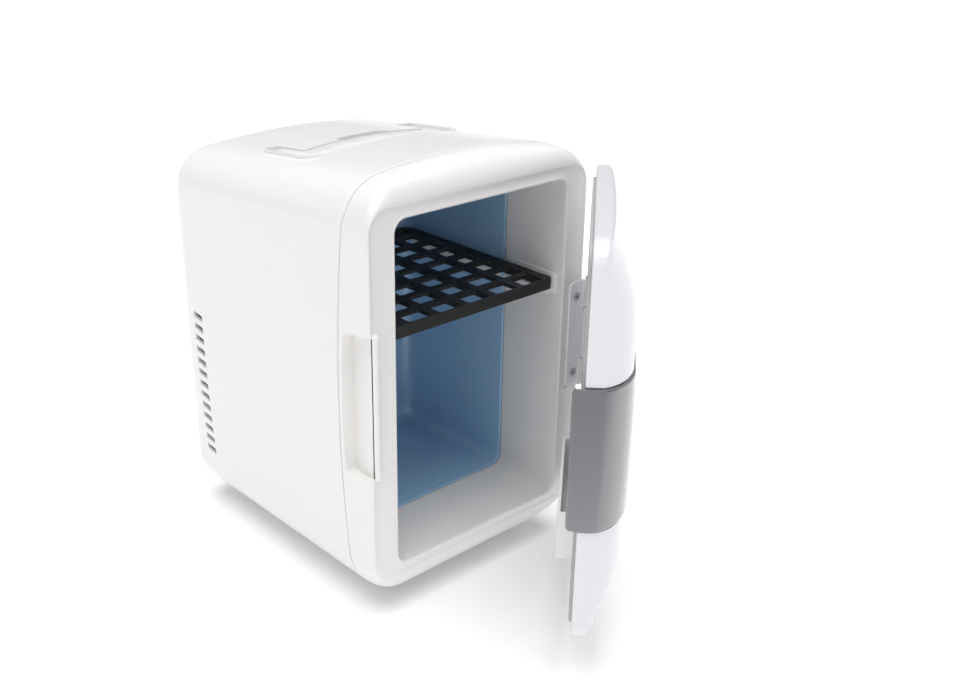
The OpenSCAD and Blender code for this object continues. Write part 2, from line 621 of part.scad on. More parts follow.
hz = [dzc - 36, dzc - 18, dzc + 18, dzc + 36];
module leaf2d(z0, z1) difference() {
  translate([73, z0]) square([14, z1 - z0]);
  corner_cut(77, z0 + 4, 4, -1, -1, 5);
  corner_cut(77, z1 - 4, 4, -1, 1, 5);
}
module hinge_leaf_body() color([0.86, 0.86, 0.88]) difference() {
  union() {
    along_y(yF - 1.1, yF + 1) leaf2d(hz[0], hz[3]);
    for (i = [0, 2]) translate([px, py, hz[i]]) cylinder(r = 3, h = hz[i + 1] - hz[i]);
    for (i = [0, 2]) span([84, yF - 2.2, hz[i]], [px, yF + 0.2, hz[i + 1]]);
  }
  translate([px, py, 0]) cylinder(r = 1.5, h = 300);
  // room for the door's middle knuckle
  translate([px, py, hz[1] - 0.3]) cylinder(r = 3.4, h = hz[2] - hz[1] + 0.6);
  for (z = [dzc - 26, dzc + 26]) {
    rod_y(yF - 5, yF + 5, 79.5, z, 1.7);
    translate([79.5, yF - 1.11, z]) rotate([-90, 0, 0]) cylinder(r1 = 3.2, r2 = 1.7, h = 1.5);
  }
}
module hinge_screws_body() color([0.72, 0.72, 0.74]) for (z = [dzc - 26, dzc + 26]) screw_y(79.5, yF - 1.1, z, 1.25, 2.8, 10);
module hinge_pin() color([0.75, 0.75, 0.77]) union() {
  translate([px, py, hz[0] - 0.6]) cylinder(r = 1.48, h = hz[3] - hz[0] + 1.6);
  translate([px, py, hz[3] + 0.05]) cylinder(r = 2.5, h = 1);
}
module hinge_leaf_door() color([0.86, 0.86, 0.88]) door_pose() difference() {
  union() {
    along_y(yS, yD - 0.1) leaf2d(hz[0], hz[3]);
    translate([px, py, hz[1] + 0.25]) cylinder(r = 3, h = hz[2] - hz[1] - 0.5);
    span([84, yS, hz[1] + 0.25], [px, yD - 0.1, hz[2] - 0.25]);
  }
  translate([px, py, 0]) cylinder(r = 1.53, h = 300);
  for (i = [0, 2]) translate([px, py, hz[i] - 1]) cylinder(r = 3.4, h = hz[i + 1] - hz[i] + (i == 0 ? 1.25 : 2));
  for (z = [dzc - 26, dzc + 26]) {
    rod_y(yD - 5, yD + 5, 78, z, 1.7);
    translate([78, yD - 0.09, z]) rotate([90, 0, 0]) cylinder(r1 = 3.2, r2 = 1.7, h = 1.5);
  }
}
module hinge_screws_door() color([0.72, 0.72, 0.74]) door_pose() for (z = [dzc - 26, dzc + 26])
  translate([78, yD - 0.1, z]) rotate([0, 0, 180]) screw_y(0, 0, 0, 1.25, 2.8, 9);

// ---------- door ----------

// Pillow-shaped door form, closed, offset inwards by o
module door_form(o, back) intersection() {
  along_y(yO - 5, back) rrect([-dw + o, dz0 + o], [dw - o, dz1 - o], max(16 - o, 6));
  // plan section: big corner radii and a flat crown
  translate([0, 0, dz0 - 5]) linear_extrude(door_h + 10) intersection() {
    difference() {
      translate([-dw - 5, yO + o]) square([door_w + 10, back - yO - o + 1]);
      for (s = [-1, 1]) corner_cut(s * (dw - 20), yO + 20, 20 - o, s, -1, 40);
    }
    translate([0, yO + 1200]) circle(1200 - o, $fn = BIG);
  }
  // upright section: rounded ends and a fuller crown
  along_x(-dw - 5, dw + 5) intersection() {
    difference() {
      translate([yO + o, dz0 - 5]) square([back - yO - o + 1, door_h + 10]);
      corner_cut(yO + 24, dz0 + 22, 24 - o, -1, -1, 40);
      corner_cut(yO + 24, dz1 - 22, 24 - o, -1, 1, 40);
    }
    translate([yO + 700, dzc]) circle(700 - o, $fn = BIG);
  }
}
// Space the latch handle works in
module latch_space(g) {
  span([-95, yO - 10, lz0 - 1.6 - g], [lx + latch_w - 6.5 + g, yO + 10.2 + g, lz1 + 1.6 + g]);
  span([-95, yO - 10, lz0 - 1.6 - g], [lx + 5 + g, yO + 12 + g, lz1 + 1.6 + g]);
  span([-95, yO - 10, lz0 - 1.6 - g], [-79.6 + g, yO + 18 + g, lz1 + 1.6 + g]);
  span([-95, yO - 10, lz0 - 1.6 - g], [-81.2 + g, yF + 5, lz1 + 1.6 + g]);
}
module door_shell() color([0.88, 0.88, 0.91]) door_pose() difference() {
  union() {
    difference() {
      door_form(0, yD - 0.15);
      door_form(wall, yD + 1);
    }
    intersection() {
      door_form(0.4, yS);
      latch_space(2);
    }
    // studs for the liner screws and the hinge leaf
    for (z = [dzc - 26, dzc + 26]) rod_y(yS - 8, yS, 78, z, 3.2);
  }
  latch_space(0);
  translate([lx, ly, lz0 - 3]) cylinder(r = 1.5, h = latch_h + 6);
  for (z = [dzc - 26, dzc + 26]) rod_y(yS - 8.6, yS + 1, 78, z, 1.3);
  // hinge leaf passes through the rim
  span([72.85, yS, hz[0] - 0.15], [95, yD + 1, hz[3] + 0.15]);
}
// Inner panel with a well for the bin and a seat for the hinge leaf
bx = 45;
bz0 = zO + 23;
bz1 = zO + 54;
module door_liner() color([0.90, 0.90, 0.90]) door_pose() difference() {
  union() {
    along_y(yS + 0.02, yD) rrect([-dw + wall + 0.15, dz0 + wall + 0.15], [dw - wall - 0.15, dz1 - wall - 0.15], 13.4);
    along_y(yS - 10.5, yS + 0.5) rrect([-bx - 2, bz0 - 3], [bx + 2, bz1 + 3], 4);
    // low stiffening frame round the well
    along_y(yD - 0.5, yD + 0.9) difference() {
      rrect([-64.6, dz0 + 10], [64.6, dz1 - 12], 10);
      rrect([-62.8, dz0 + 11.8], [62.8, dz1 - 13.8], 8.2);
    }
  }
  along_y(yS - 8.8, yD + 3) rrect([-bx - 0.4, bz0 - 1.4], [bx + 0.4, bz1 + 1.4], 2);
  // peg holes of the bin
  for (x = [-30, 30]) rod_y(yS - 12, yS, x, bz1 - 12, 3.08);
  // hinge leaf seat
  along_y(yS - 1, yD + 2) difference() {
    translate([72.85, hz[0] - 0.15]) square([30, hz[3] - hz[0] + 0.3]);
  }
  // latch clearance
  span([-95, yS - 5, lz0 - 1.6], [-80.4, yD + 5, lz1 + 1.6]);
}
module door_foam() color([0.97, 0.97, 0.95]) door_pose() difference() {
  door_form(wall + 0.3, yS - 0.1);
  latch_space(2.3);
  along_y(yS - 10.9, yS + 1) rrect([-bx - 2.4, bz0 - 3.4], [bx + 2.4, bz1 + 3.4], 4.4);
  for (z = [dzc - 26, dzc + 26]) rod_y(yS - 9.5, yS + 1, 78, z, 3.7);
  for (x = [-30, 30]) rod_y(yS - 14, yS, x, bz1 - 12, 3.6);
}
module door_gasket() color([0.80, 0.80, 0.80]) door_pose() union() {
  difference() {
    along_y(yD + 0.02, yF - 0.75) rrect([-72, zO - 4.4], [72, zOt + 5], 13);
    along_y(yD - 1, yF + 1) rrect([-68.4, zO - 1.4], [68.4, zOt + 2], 10);
  }
}
module door_bin() color([0.93, 0.94, 0.93]) door_pose() difference() {
  union() {
    // open tray with a rounded lower front edge
    along_x(-bx, bx) difference() {
      translate([yS - 8.4, bz0]) square([yD + 11.3 - yS + 8.4, bz1 - bz0]);
      corner_cut(yD + 8.3, bz0 + 3, 3, 1, -1, 6);
    }
    for (x = [-30, 30]) rod_y(yS - 11.1, yS - 8, x, bz1 - 12, 3);
  }
  // rounded lower corners
  for (s = [-1, 1]) along_y(yS - 9, yD + 20) corner_cut(s * (bx - 4), bz0 + 4, 4, s, -1, 8);
  // inside of the tray
  along_x(-bx + 1.6, bx - 1.6) polygon([[yS - 6.8, bz0 + 1.8], [yD + 8.2, bz0 + 1.8], [yD + 9.3, bz0 + 3.4], [yD + 9.5, bz1 + 1], [yS - 6.8, bz1 + 1]]);
  // drain slots in the floor
  for (i = [-2:2]) span([i * 15 - 4, yS - 3, bz0 - 1], [i * 15 + 4, yD + 6, bz0 + 4]);
}

// ---------- latch ----------

module latch_handle() color([0.55, 0.56, 0.57]) door_pose() difference() {
  union() {
    // curved cover plate that wraps the free edge
    intersection() {
      difference() {
        door_form(-1.3, yD);
        door_form(1.2, yD + 1);
      }
      along_y(yO - 10, yD + 1) rrect([-90, lz0], [lx + latch_w - 9.5, lz1], 5);
    }
    // arm and hook that reach behind the catch rib
    along_x(-dw - 1.3, -dw + 0.8) rrect([yD - 5, lz0], [yF + 3.7, lz1], 3);
    intersection() {
      span([-dw - 1.3, yF + 2.1, lz0], [-80.8, yF + 3.7, lz1]);
      along_x(-90, -80) rrect([yD - 5, lz0], [yF + 3.7, lz1], 3);
    }
    // pivot lugs
    for (z = [lz0 + 2, dzc + 12, lz1 - 8]) translate([lx, ly, z]) cylinder(r = 3.3, h = 6);
    for (z = [lz0 + 2, dzc + 12, lz1 - 8]) intersection() {
      span([lx - 1.5, yO, z], [lx + 1.5, ly, z + 6]);
      door_form(0, yS);
    }
  }
  translate([lx, ly, lz0 - 5]) cylinder(r = 1.55, h = latch_h + 10);
}
module latch_pin() color([0.75, 0.75, 0.77]) door_pose() translate([lx, ly, lz0 - 3]) cylinder(r = 1.5, h = latch_h + 6);
// Return spring: close-wound coil round the pin
module latch_spring() color([0.6, 0.6, 0.62]) door_pose() union() {
  for (i = [0:8]) translate([lx, ly, dzc - 8 + i * 0.8]) rotate_extrude() translate([2.5, 0]) circle(0.45, $fn = 24);
  translate([lx + 2.1, ly, dzc - 7.7]) rotate([0, 90, 5.2]) cylinder(r = 0.38, h = 14);
}

front_frame();
rear_shell();
rear_cover();
front_liner();
cold_tub();
tub_seal();
cabinet_foam();
shelf_rails();
shelf();
cold_block();
peltier();
peltier_seal();
heatsink();
heatsink_screws();
fan_frame();
fan_rotor();
fan_screws();
power_board();
power_parts();
ac_inlet();
ac_pins();
dc_socket();
switch_housing();
mode_switch();
led_cool();
led_warm();
cover_screws();
foot_front_left();
foot_front_right();
foot_rear_left();
foot_rear_right();
foot_screws();
carry_handle();
handle_pins();
hinge_leaf_body();
hinge_screws_body();
hinge_pin();
hinge_leaf_door();
hinge_screws_door();
door_shell();
door_liner();
door_foam();
door_gasket();
door_bin();
latch_handle();
latch_pin();
latch_spring();
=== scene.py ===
import bpy, bmesh, math
import numpy as np
from mathutils import Vector, Matrix


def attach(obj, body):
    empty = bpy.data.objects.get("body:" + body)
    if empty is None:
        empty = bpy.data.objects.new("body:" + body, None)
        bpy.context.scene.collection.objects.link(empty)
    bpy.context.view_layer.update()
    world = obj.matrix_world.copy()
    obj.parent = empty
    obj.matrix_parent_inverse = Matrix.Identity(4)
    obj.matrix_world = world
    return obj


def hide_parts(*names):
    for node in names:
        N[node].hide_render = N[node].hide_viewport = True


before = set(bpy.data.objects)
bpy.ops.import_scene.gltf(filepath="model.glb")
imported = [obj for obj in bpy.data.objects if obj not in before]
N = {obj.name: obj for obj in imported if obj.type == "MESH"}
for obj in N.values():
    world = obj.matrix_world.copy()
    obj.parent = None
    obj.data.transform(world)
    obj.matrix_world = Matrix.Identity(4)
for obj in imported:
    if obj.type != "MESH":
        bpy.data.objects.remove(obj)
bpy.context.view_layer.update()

MM = 0.001
sc = bpy.context.scene

# ------------------------------------------------------------------ camera
yaw, pitch, roll = math.radians(43.713), math.radians(23.218), math.radians(1.063)
d = Vector((math.sin(yaw) * math.cos(pitch), math.cos(yaw) * math.cos(pitch), -math.sin(pitch)))
r0 = Vector((math.cos(yaw), -math.sin(yaw), 0))
u0 = r0.cross(d)
R = math.cos(roll) * r0 + math.sin(roll) * u0
U = -math.sin(roll) * r0 + math.cos(roll) * u0
cam_data = bpy.data.cameras.new("camera")
cam = bpy.data.objects.new("camera", cam_data)
sc.collection.objects.link(cam)
M = Matrix((R, U, -d)).transposed().to_4x4()
M.translation = Vector((-0.4315, -0.5482, 0.4245))
cam.matrix_world = M
cam_data.sensor_width = 36.0
cam_data.lens = 43.25
cam_data.clip_start = 0.01
sc.camera = cam

sc.view_settings.view_transform = "Standard"
sc.view_settings.look = "None"
sc.view_settings.exposure = 0.0

# ------------------------------------------------------------------ materials
class Mat:
    """Small helper round one node tree."""
    def __init__(self, name):
        self.m = bpy.data.materials.new(name)
        self.m.use_nodes = True
        self.t = self.m.node_tree
        self.b = self.t.nodes["Principled BSDF"]
        self.co = self.t.nodes.new("ShaderNodeTexCoord")
    def n(self, kind, **kw):
        x = self.t.nodes.new(kind)
        for k, v in kw.items():
            if k in x.inputs:
                x.inputs[k].default_value = v
            else:
                setattr(x, k, v)
        return x
    def link(self, a, b):
        self.t.links.new(a, b)
    def noise(self, scale, detail=3.0, rough=0.55, stretch=None, dist=0.0):
        src = self.co.outputs["Object"]
        if stretch:
            mp = self.n("ShaderNodeMapping")
            mp.inputs["Scale"].default_value = stretch
            self.link(src, mp.inputs["Vector"])
            src = mp.outputs["Vector"]
        x = self.n("ShaderNodeTexNoise", Scale=scale, Detail=detail, Roughness=rough, Distortion=dist)
        self.link(src, x.inputs["Vector"])
        return x.outputs["Fac"]
    def ramp(self, fac, stops):
        x = self.n("ShaderNodeValToRGB")
        cr = x.color_ramp
        while len(cr.elements) < len(stops):
            cr.elements.new(0.5)
        for e, (p, c) in zip(cr.elements, stops):
            e.position = p
            e.color = c if len(c) == 4 else (*c, 1)
        self.link(fac, x.inputs["Fac"])
        return x.outputs["Color"]
    def rng(self, fac, lo, hi):
        x = self.n("ShaderNodeMapRange")
        x.inputs["From Min"].default_value = 0.3
        x.inputs["From Max"].default_value = 0.7
        x.inputs["To Min"].default_value = lo
        x.inputs["To Max"].default_value = hi
        self.link(fac, x.inputs["Value"])
        return x.outputs["Result"]
    def bump(self, fac, strength, distance, prev=None):
        x = self.n("ShaderNodeBump", Strength=strength, Distance=distance)
        self.link(fac, x.inputs["Height"])
        if prev:
            self.link(prev, x.inputs["Normal"])
        return x.outputs["Normal"]
    def edge(self, radius, samples=4):
        x = self.n("ShaderNodeBevel")
        x.samples = samples
        x.inputs["Radius"].default_value = radius
        return x.outputs["Normal"]
    def out_normal(self, nrm):
        self.link(nrm, self.b.inputs["Normal"])


def plastic(name, col, rough=(0.25, 0.35), grain=0.02, grain_scale=900, tint=0.02, spec=0.5, coat=0.0,
            coat_rough=0.08, edge=0.0006, orange=0.0, sss=0.0, spots=0.0):
    """Injection-moulded plastic: faint tone clouds, uneven gloss, fine grain, soft corner wear."""
    M_ = Mat(name)
    c = np.array(col, float)
    big = M_.noise(14, 4, 0.6)
    col_out = M_.ramp(big, [(0.3, tuple(np.clip(c * (1 - tint), 0, 1))), (0.7, tuple(np.clip(c * (1 + tint * 0.6), 0, 1)))])
    M_.link(col_out, M_.b.inputs["Base Color"])
    mid = M_.noise(60, 5, 0.65)
    M_.link(M_.rng(mid, rough[0], rough[1]), M_.b.inputs["Roughness"])
    M_.b.inputs["Specular IOR Level"].default_value = spec
    M_.b.inputs["Coat Weight"].default_value = coat
    M_.b.inputs["Coat Roughness"].default_value = coat_rough
    if sss:
        M_.b.inputs["Subsurface Weight"].default_value = sss
        M_.b.inputs["Subsurface Radius"].default_value = (0.004, 0.003, 0.002)
        M_.b.inputs["Subsurface Scale"].default_value = 0.5
    nrm = M_.edge(edge) if edge else None
    fine = M_.noise(grain_scale, 2, 0.5)
    nrm = M_.bump(fine, grain, 0.0004, nrm)
    if orange:
        nrm = M_.bump(M_.noise(120, 1, 0.4), orange, 0.0006, nrm)
    M_.out_normal(nrm)
    return M_.m


def metal(name, col, rough=(0.2, 0.35), stretch=None, grain=0.05, scale=400, edge=0.0003, tint=0.06, aniso=0.0):
    M_ = Mat(name)
    c = np.array(col, float)
    big = M_.noise(90, 4, 0.6, stretch)
    M_.link(M_.ramp(big, [(0.3, tuple(c * (1 - tint))), (0.7, tuple(np.clip(c * (1 + tint * 0.5), 0, 1)))]), M_.b.inputs["Base Color"])
    M_.b.inputs["Metallic"].default_value = 1.0
    M_.link(M_.rng(M_.noise(scale, 3, 0.6, stretch), rough[0], rough[1]), M_.b.inputs["Roughness"])
    nrm = M_.edge(edge) if edge else None
    nrm = M_.bump(M_.noise(scale * 2, 2, 0.5, stretch), grain, 0.0003, nrm)
    M_.out_normal(nrm)
    return M_.m


def grey_with_painted_sheen():
    """Glossy silver-grey plastic with painted reflections: colour painted darker seen straight on and paler at a slant,
    painted darker towards the top of the handle, with faint painted reflection streaks down its height.
    """
    M_ = Mat("handle_grey")
    # painted sheen: the colour follows the facing ratio, darker seen straight on and paler at a slant
    painted_sheen_facing = M_.n("ShaderNodeLayerWeight", Blend=0.42)
    sep = M_.n("ShaderNodeSeparateXYZ")
    M_.link(M_.co.outputs["Object"], sep.inputs[0])
    # painted reflection: the colour is tilted lighter at the bottom of the handle and darker at its top
    painted_reflection_tilt = M_.n("ShaderNodeMapRange")
    for k_, v_ in (("From Min", 0.100), ("From Max", 0.184), ("To Min", 0.085), ("To Max", -0.085)):
        painted_reflection_tilt.inputs[k_].default_value = v_
    M_.link(sep.outputs["Z"], painted_reflection_tilt.inputs["Value"])
    ad = M_.n("ShaderNodeMath")
    ad.operation = "ADD"
    M_.link(painted_sheen_facing.outputs["Facing"], ad.inputs[0])
    M_.link(painted_reflection_tilt.outputs[0], ad.inputs[1])
    # painted reflection streaks: noise stretched along the height, mixed into the colour
    painted_streaks = M_.noise(30, 3, 0.5, (1.0, 1.0, 0.10), 0.3)
    mx = M_.n("ShaderNodeMix")
    mx.data_type = "FLOAT"
    mx.inputs[0].default_value = 0.16
    M_.link(ad.outputs[0], mx.inputs[2])
    M_.link(painted_streaks, mx.inputs[3])
    # dark-to-pale grey ramp carrying the painted sheen, the painted tilt and the painted streaks
    col_out = M_.ramp(mx.outputs[0], [(0.10, (0.135, 0.135, 0.152)), (0.20, (0.188, 0.189, 0.204)), (0.30, (0.25, 0.252, 0.266)), (0.48, (0.28, 0.282, 0.292)), (0.7, (0.31, 0.312, 0.318)), (0.95, (0.34, 0.342, 0.346))])
    M_.link(col_out, M_.b.inputs["Base Color"])
    M_.link(M_.rng(M_.noise(60, 5, 0.65), 0.19, 0.26), M_.b.inputs["Roughness"])
    M_.b.inputs["Metallic"].default_value = 0.25
    M_.b.inputs["Coat Weight"].default_value = 0.6
    M_.b.inputs["Coat Roughness"].default_value = 0.05
    nrm = M_.edge(0.0005)
    nrm = M_.bump(M_.noise(1400, 2, 0.5), 0.008, 0.0003, nrm)
    M_.out_normal(nrm)
    return M_.m


m_shell = plastic("shell_white", (0.895, 0.888, 0.888), (0.29, 0.36), 0.004, 1400, 0.004, coat=0.2, coat_rough=0.10, edge=0, orange=0.003)
m_frame = plastic("frame_white", (0.895, 0.882, 0.868), (0.29, 0.36), 0.005, 1400, 0.004, coat=0.2, coat_rough=0.10, edge=0, orange=0.004)
m_liner = plastic("liner_white", (0.87, 0.855, 0.84), (0.36, 0.46), 0.03, 1800, 0.008)
m_door = plastic("door_white", (0.82, 0.82, 0.86), (0.18, 0.26), 0.006, 1400, 0.006, coat=0.35, coat_rough=0.05, edge=0, orange=0.008)
m_inner = plastic("door_liner_white", (0.84, 0.84, 0.84), (0.34, 0.44), 0.04, 1600, 0.012)
m_bin = plastic("bin_white", (0.88, 0.89, 0.875), (0.28, 0.38), 0.03, 1500, 0.008, sss=0.3)
m_cover = plastic("cover_white", (0.86, 0.86, 0.85), (0.42, 0.52), 0.10, 1100, 0.015)
m_shelf = plastic("shelf_black", (0.012, 0.011, 0.011), (0.42, 0.56), 0.10, 1300, 0.15)
m_black = plastic("black_plastic", (0.018, 0.018, 0.019), (0.38, 0.5), 0.06, 1300, 0.12)
m_switch = plastic("switch_black", (0.022, 0.022, 0.023), (0.29, 0.36), 0.03, 1300, 0.10)
m_grey = grey_with_painted_sheen()
m_hinge = plastic("hinge_white", (0.93, 0.91, 0.94), (0.29, 0.37), 0.02, 1400, 0.01, edge=0.0004)
m_gasket = plastic("gasket_vinyl", (0.52, 0.52, 0.52), (0.5, 0.62), 0.08, 900, 0.03)
m_seal = plastic("seal_black", (0.02, 0.02, 0.02), (0.7, 0.85), 0.25, 700, 0.2)
m_rubber = plastic("foot_rubber", (0.70, 0.70, 0.69), (0.5, 0.65), 0.10, 900, 0.03, sss=0.2)
m_foam = plastic("foam", (0.85, 0.82, 0.70), (0.8, 0.95), 0.6, 500, 0.06)
m_ceramic = plastic("ceramic", (0.80, 0.80, 0.76), (0.5, 0.6), 0.10, 900, 0.03)
m_board = plastic("board_green", (0.02, 0.12, 0.05), (0.25, 0.4), 0.15, 500, 0.2)
m_parts = plastic("board_parts", (0.22, 0.12, 0.04), (0.3, 0.5), 0.1, 500, 0.4)
m_steel = metal("steel", (0.62, 0.62, 0.63), (0.28, 0.38))
m_alu = metal("aluminium", (0.72, 0.73, 0.74), (0.3, 0.45), (1, 1, 6))
m_brass = metal("contact_pin", (0.78, 0.70, 0.48), (0.2, 0.3))
m_led_g = plastic("led_green", (0.04, 0.35, 0.08), (0.1, 0.2), 0.01, 900, 0.05, coat=0.5, sss=0.3)
m_led_r = plastic("led_red", (0.45, 0.02, 0.015), (0.1, 0.2), 0.01, 900, 0.05, coat=0.5, sss=0.3)


def blue_film():
    """Sheet metal under a slate blue protective film: smooth, slightly wrinkled, darker where it lies tight."""
    M_ = Mat("blue_film")
    big = M_.noise(9, 3, 0.5, dist=0.4)
    M_.link(M_.ramp(big, [(0.25, (0.385, 0.60, 0.835)), (0.55, (0.405, 0.625, 0.855)), (0.8, (0.43, 0.65, 0.87))]), M_.b.inputs["Base Color"])
    M_.b.inputs["Metallic"].default_value = 0.15
    M_.link(M_.rng(M_.noise(35, 4, 0.6), 0.30, 0.42), M_.b.inputs["Roughness"])
    M_.b.inputs["Coat Weight"].default_value = 0.25
    M_.b.inputs["Coat Roughness"].default_value = 0.12
    nrm = M_.bump(M_.noise(22, 3, 0.5, (1, 1, 3), 0.6), 0.06, 0.002)
    nrm = M_.bump(M_.noise(700, 2, 0.5), 0.02, 0.0003, nrm)
    M_.out_normal(nrm)
    return M_.m

m_blue = blue_film()

cad_mats = {
    "front_frame": m_frame, "rear_shell": m_shell, "rear_cover": m_cover, "front_liner": m_liner, "cold_tub": m_blue,
    "cabinet_foam": m_foam, "shelf_rails": m_liner, "shelf": m_shelf, "tub_seal": m_seal, "cold_block": m_alu,
    "peltier": m_ceramic, "peltier_seal": m_seal, "heatsink": m_alu, "heatsink_screws": m_steel, "fan_frame": m_black,
    "fan_rotor": m_black, "fan_screws": m_steel, "power_board": m_board, "power_parts": m_parts, "ac_inlet": m_black,
    "ac_pins": m_brass, "dc_socket": m_black, "switch_housing": m_black, "mode_switch": m_switch, "led_cool": m_led_g,
    "led_warm": m_led_r, "cover_screws": m_steel, "foot_front_left": m_rubber, "foot_front_right": m_rubber,
    "foot_rear_left": m_rubber, "foot_rear_right": m_rubber, "foot_screws": m_steel, "carry_handle": m_shell,
    "handle_pins": m_steel, "hinge_leaf_body": m_hinge, "hinge_screws_body": m_steel, "hinge_pin": m_steel,
    "hinge_leaf_door": m_hinge, "hinge_screws_door": m_steel, "door_shell": m_door, "door_liner": m_inner,
    "door_foam": m_foam, "door_gasket": m_gasket, "door_bin": m_bin, "latch_handle": m_grey, "latch_pin": m_steel,
    "latch_spring": m_steel}
for name, o in N.items():
    o.data.materials.clear()
    o.data.materials.append(cad_mats[name])

# ------------------------------------------------------------------ mesh helpers
def make(name, verts, faces, mat, body, replaces=(), smooth=True):
    me = bpy.data.meshes.new(name)
    me.from_pydata([tuple(v) for v in verts], [], faces)
    me.validate()
    o = bpy.data.objects.new(name, me)
    sc.collection.objects.link(o)
    me.materials.append(mat)
    if smooth:
        me.polygons.foreach_set("use_smooth", [True] * len(me.polygons))
    bm = bmesh.new()
    bm.from_mesh(me)
    bmesh.ops.remove_doubles(bm, verts=bm.verts, dist=1e-6)
    bmesh.ops.recalc_face_normals(bm, faces=bm.faces)
    bm.to_mesh(me)
    bm.free()
    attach(o, body)
    if replaces:
        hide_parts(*replaces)
    return o


def loft(rings, cap0=False, cap1=False):
    """Closed rings of equal length, joined by quads. Returns verts, faces in metres."""
    rings = [np.asarray(r, float) for r in rings]
    n = len(rings[0])
    verts = np.concatenate(rings) * MM
    faces = []
    for k in range(len(rings) - 1):
        for i in range(n):
            j = (i + 1) % n
            faces.append((k * n + i, k * n + j, (k + 1) * n + j, (k + 1) * n + i))
    if cap0:
        faces.append(tuple(range(n - 1, -1, -1)))
    if cap1:
        faces.append(tuple((len(rings) - 1) * n + i for i in range(n)))
    return verts, faces


def arc(n, a0, a1):
    return np.linspace(math.radians(a0), math.radians(a1), n)


def rr(x0, x1, z0, z1, r, nc=10, ns=14):
    """Rounded rectangle as an N x 2 ring, starting in the middle of the right side, going up."""
    r = min(r, (x1 - x0) / 2 - 1e-3, (z1 - z0) / 2 - 1e-3)
    P = []
    def side(a, b, m):
        for t in np.linspace(0, 1, m, endpoint=False)[1:]:
            P.append((a[0] + (b[0] - a[0]) * t, a[1] + (b[1] - a[1]) * t))
    def corner(cx, cz, a0):
        for t in arc(nc, a0, a0 + 90):
            P.append((cx + r * math.cos(t), cz + r * math.sin(t)))
    corner(x1 - r, z1 - r, 0)
    side((x1 - r, z1), (x0 + r, z1), ns)
    corner(x0 + r, z1 - r, 90)
    side((x0, z1 - r), (x0, z0 + r), ns)
    corner(x0 + r, z0 + r, 180)
    side((x0 + r, z0), (x1 - r, z0), ns)
    corner(x1 - r, z0 + r, 270)
    side((x1, z0 + r), (x1, z1 - r), ns)
    return np.array(P)


def ring_y(P, y):
    y = np.broadcast_to(y, (len(P),))
    return np.stack([P[:, 0], y, P[:, 1]], 1)


def box_bm(bm, lo, hi, bevel=0.0, seg=2):
    """Rounded box added to a bmesh, millimetres."""
    r = bmesh.ops.create_cube(bm, size=1.0)
    vs = r["verts"]
    for v in vs:
        v.co = Vector([(lo[i] + (hi[i] - lo[i]) * (v.co[i] + 0.5)) * MM for i in range(3)])
    if bevel:
        es = list({e for v in vs for e in v.link_edges})
        bmesh.ops.bevel(bm, geom=es, offset=bevel * MM, segments=seg, profile=0.5, affect="EDGES", clamp_overlap=True)


def bm_obj(name, bm, mat, body=None, replaces=(), smooth_angle=40):
    me = bpy.data.meshes.new(name)
    bmesh.ops.recalc_face_normals(bm, faces=bm.faces)
    bm.to_mesh(me)
    bm.free()
    o = bpy.data.objects.new(name, me)
    sc.collection.objects.link(o)
    me.materials.append(mat)
    shade(o, smooth_angle)
    if body:
        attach(o, body)
    if replaces:
        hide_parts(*replaces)
    return o


def shade(o, angle=40):
    me = o.data
    me.polygons.foreach_set("use_smooth", [True] * len(me.polygons))
    bm = bmesh.new()
    bm.from_mesh(me)
    lim = math.radians(angle)
    for e in bm.edges:
        if len(e.link_faces) == 2:
            e.smooth = e.calc_face_angle(0) < lim
    bm.to_mesh(me)
    bm.free()


def cut(o, cutters, solver="EXACT"):
    """Boolean differences, applied at once."""
    for c in cutters:
        md = o.modifiers.new("cut", "BOOLEAN")
        md.operation = "DIFFERENCE"
        md.solver = solver
        md.object = c
    dg = bpy.context.evaluated_depsgraph_get()
    me = bpy.data.meshes.new_from_object(o.evaluated_get(dg))
    old = o.data
    o.modifiers.clear()
    o.data = me
    me.name = o.name
    bpy.data.meshes.remove(old)
    for c in cutters:
        bpy.data.objects.remove(c)


def temp(name, verts, faces):
    me = bpy.data.meshes.new(name)
    me.from_pydata([tuple(v) for v in verts], [], faces)
    bm = bmesh.new()
    bm.from_mesh(me)
    bmesh.ops.recalc_face_normals(bm, faces=bm.faces)
    bm.to_mesh(me)
    bm.free()
    o = bpy.data.objects.new(name, me)
    sc.collection.objects.link(o)
    return o


# ------------------------------------------------------------------ cabinet shape
yF, seam, yR = -100.0, -78.0, 103.0
PX, PY, OPEN = 89.0, -102.25, math.radians(40.8)
SLOPE = math.radians(5.17)


def z_top(y):
    return 270.0 - (y + 78.0) * math.tan(SLOPE)


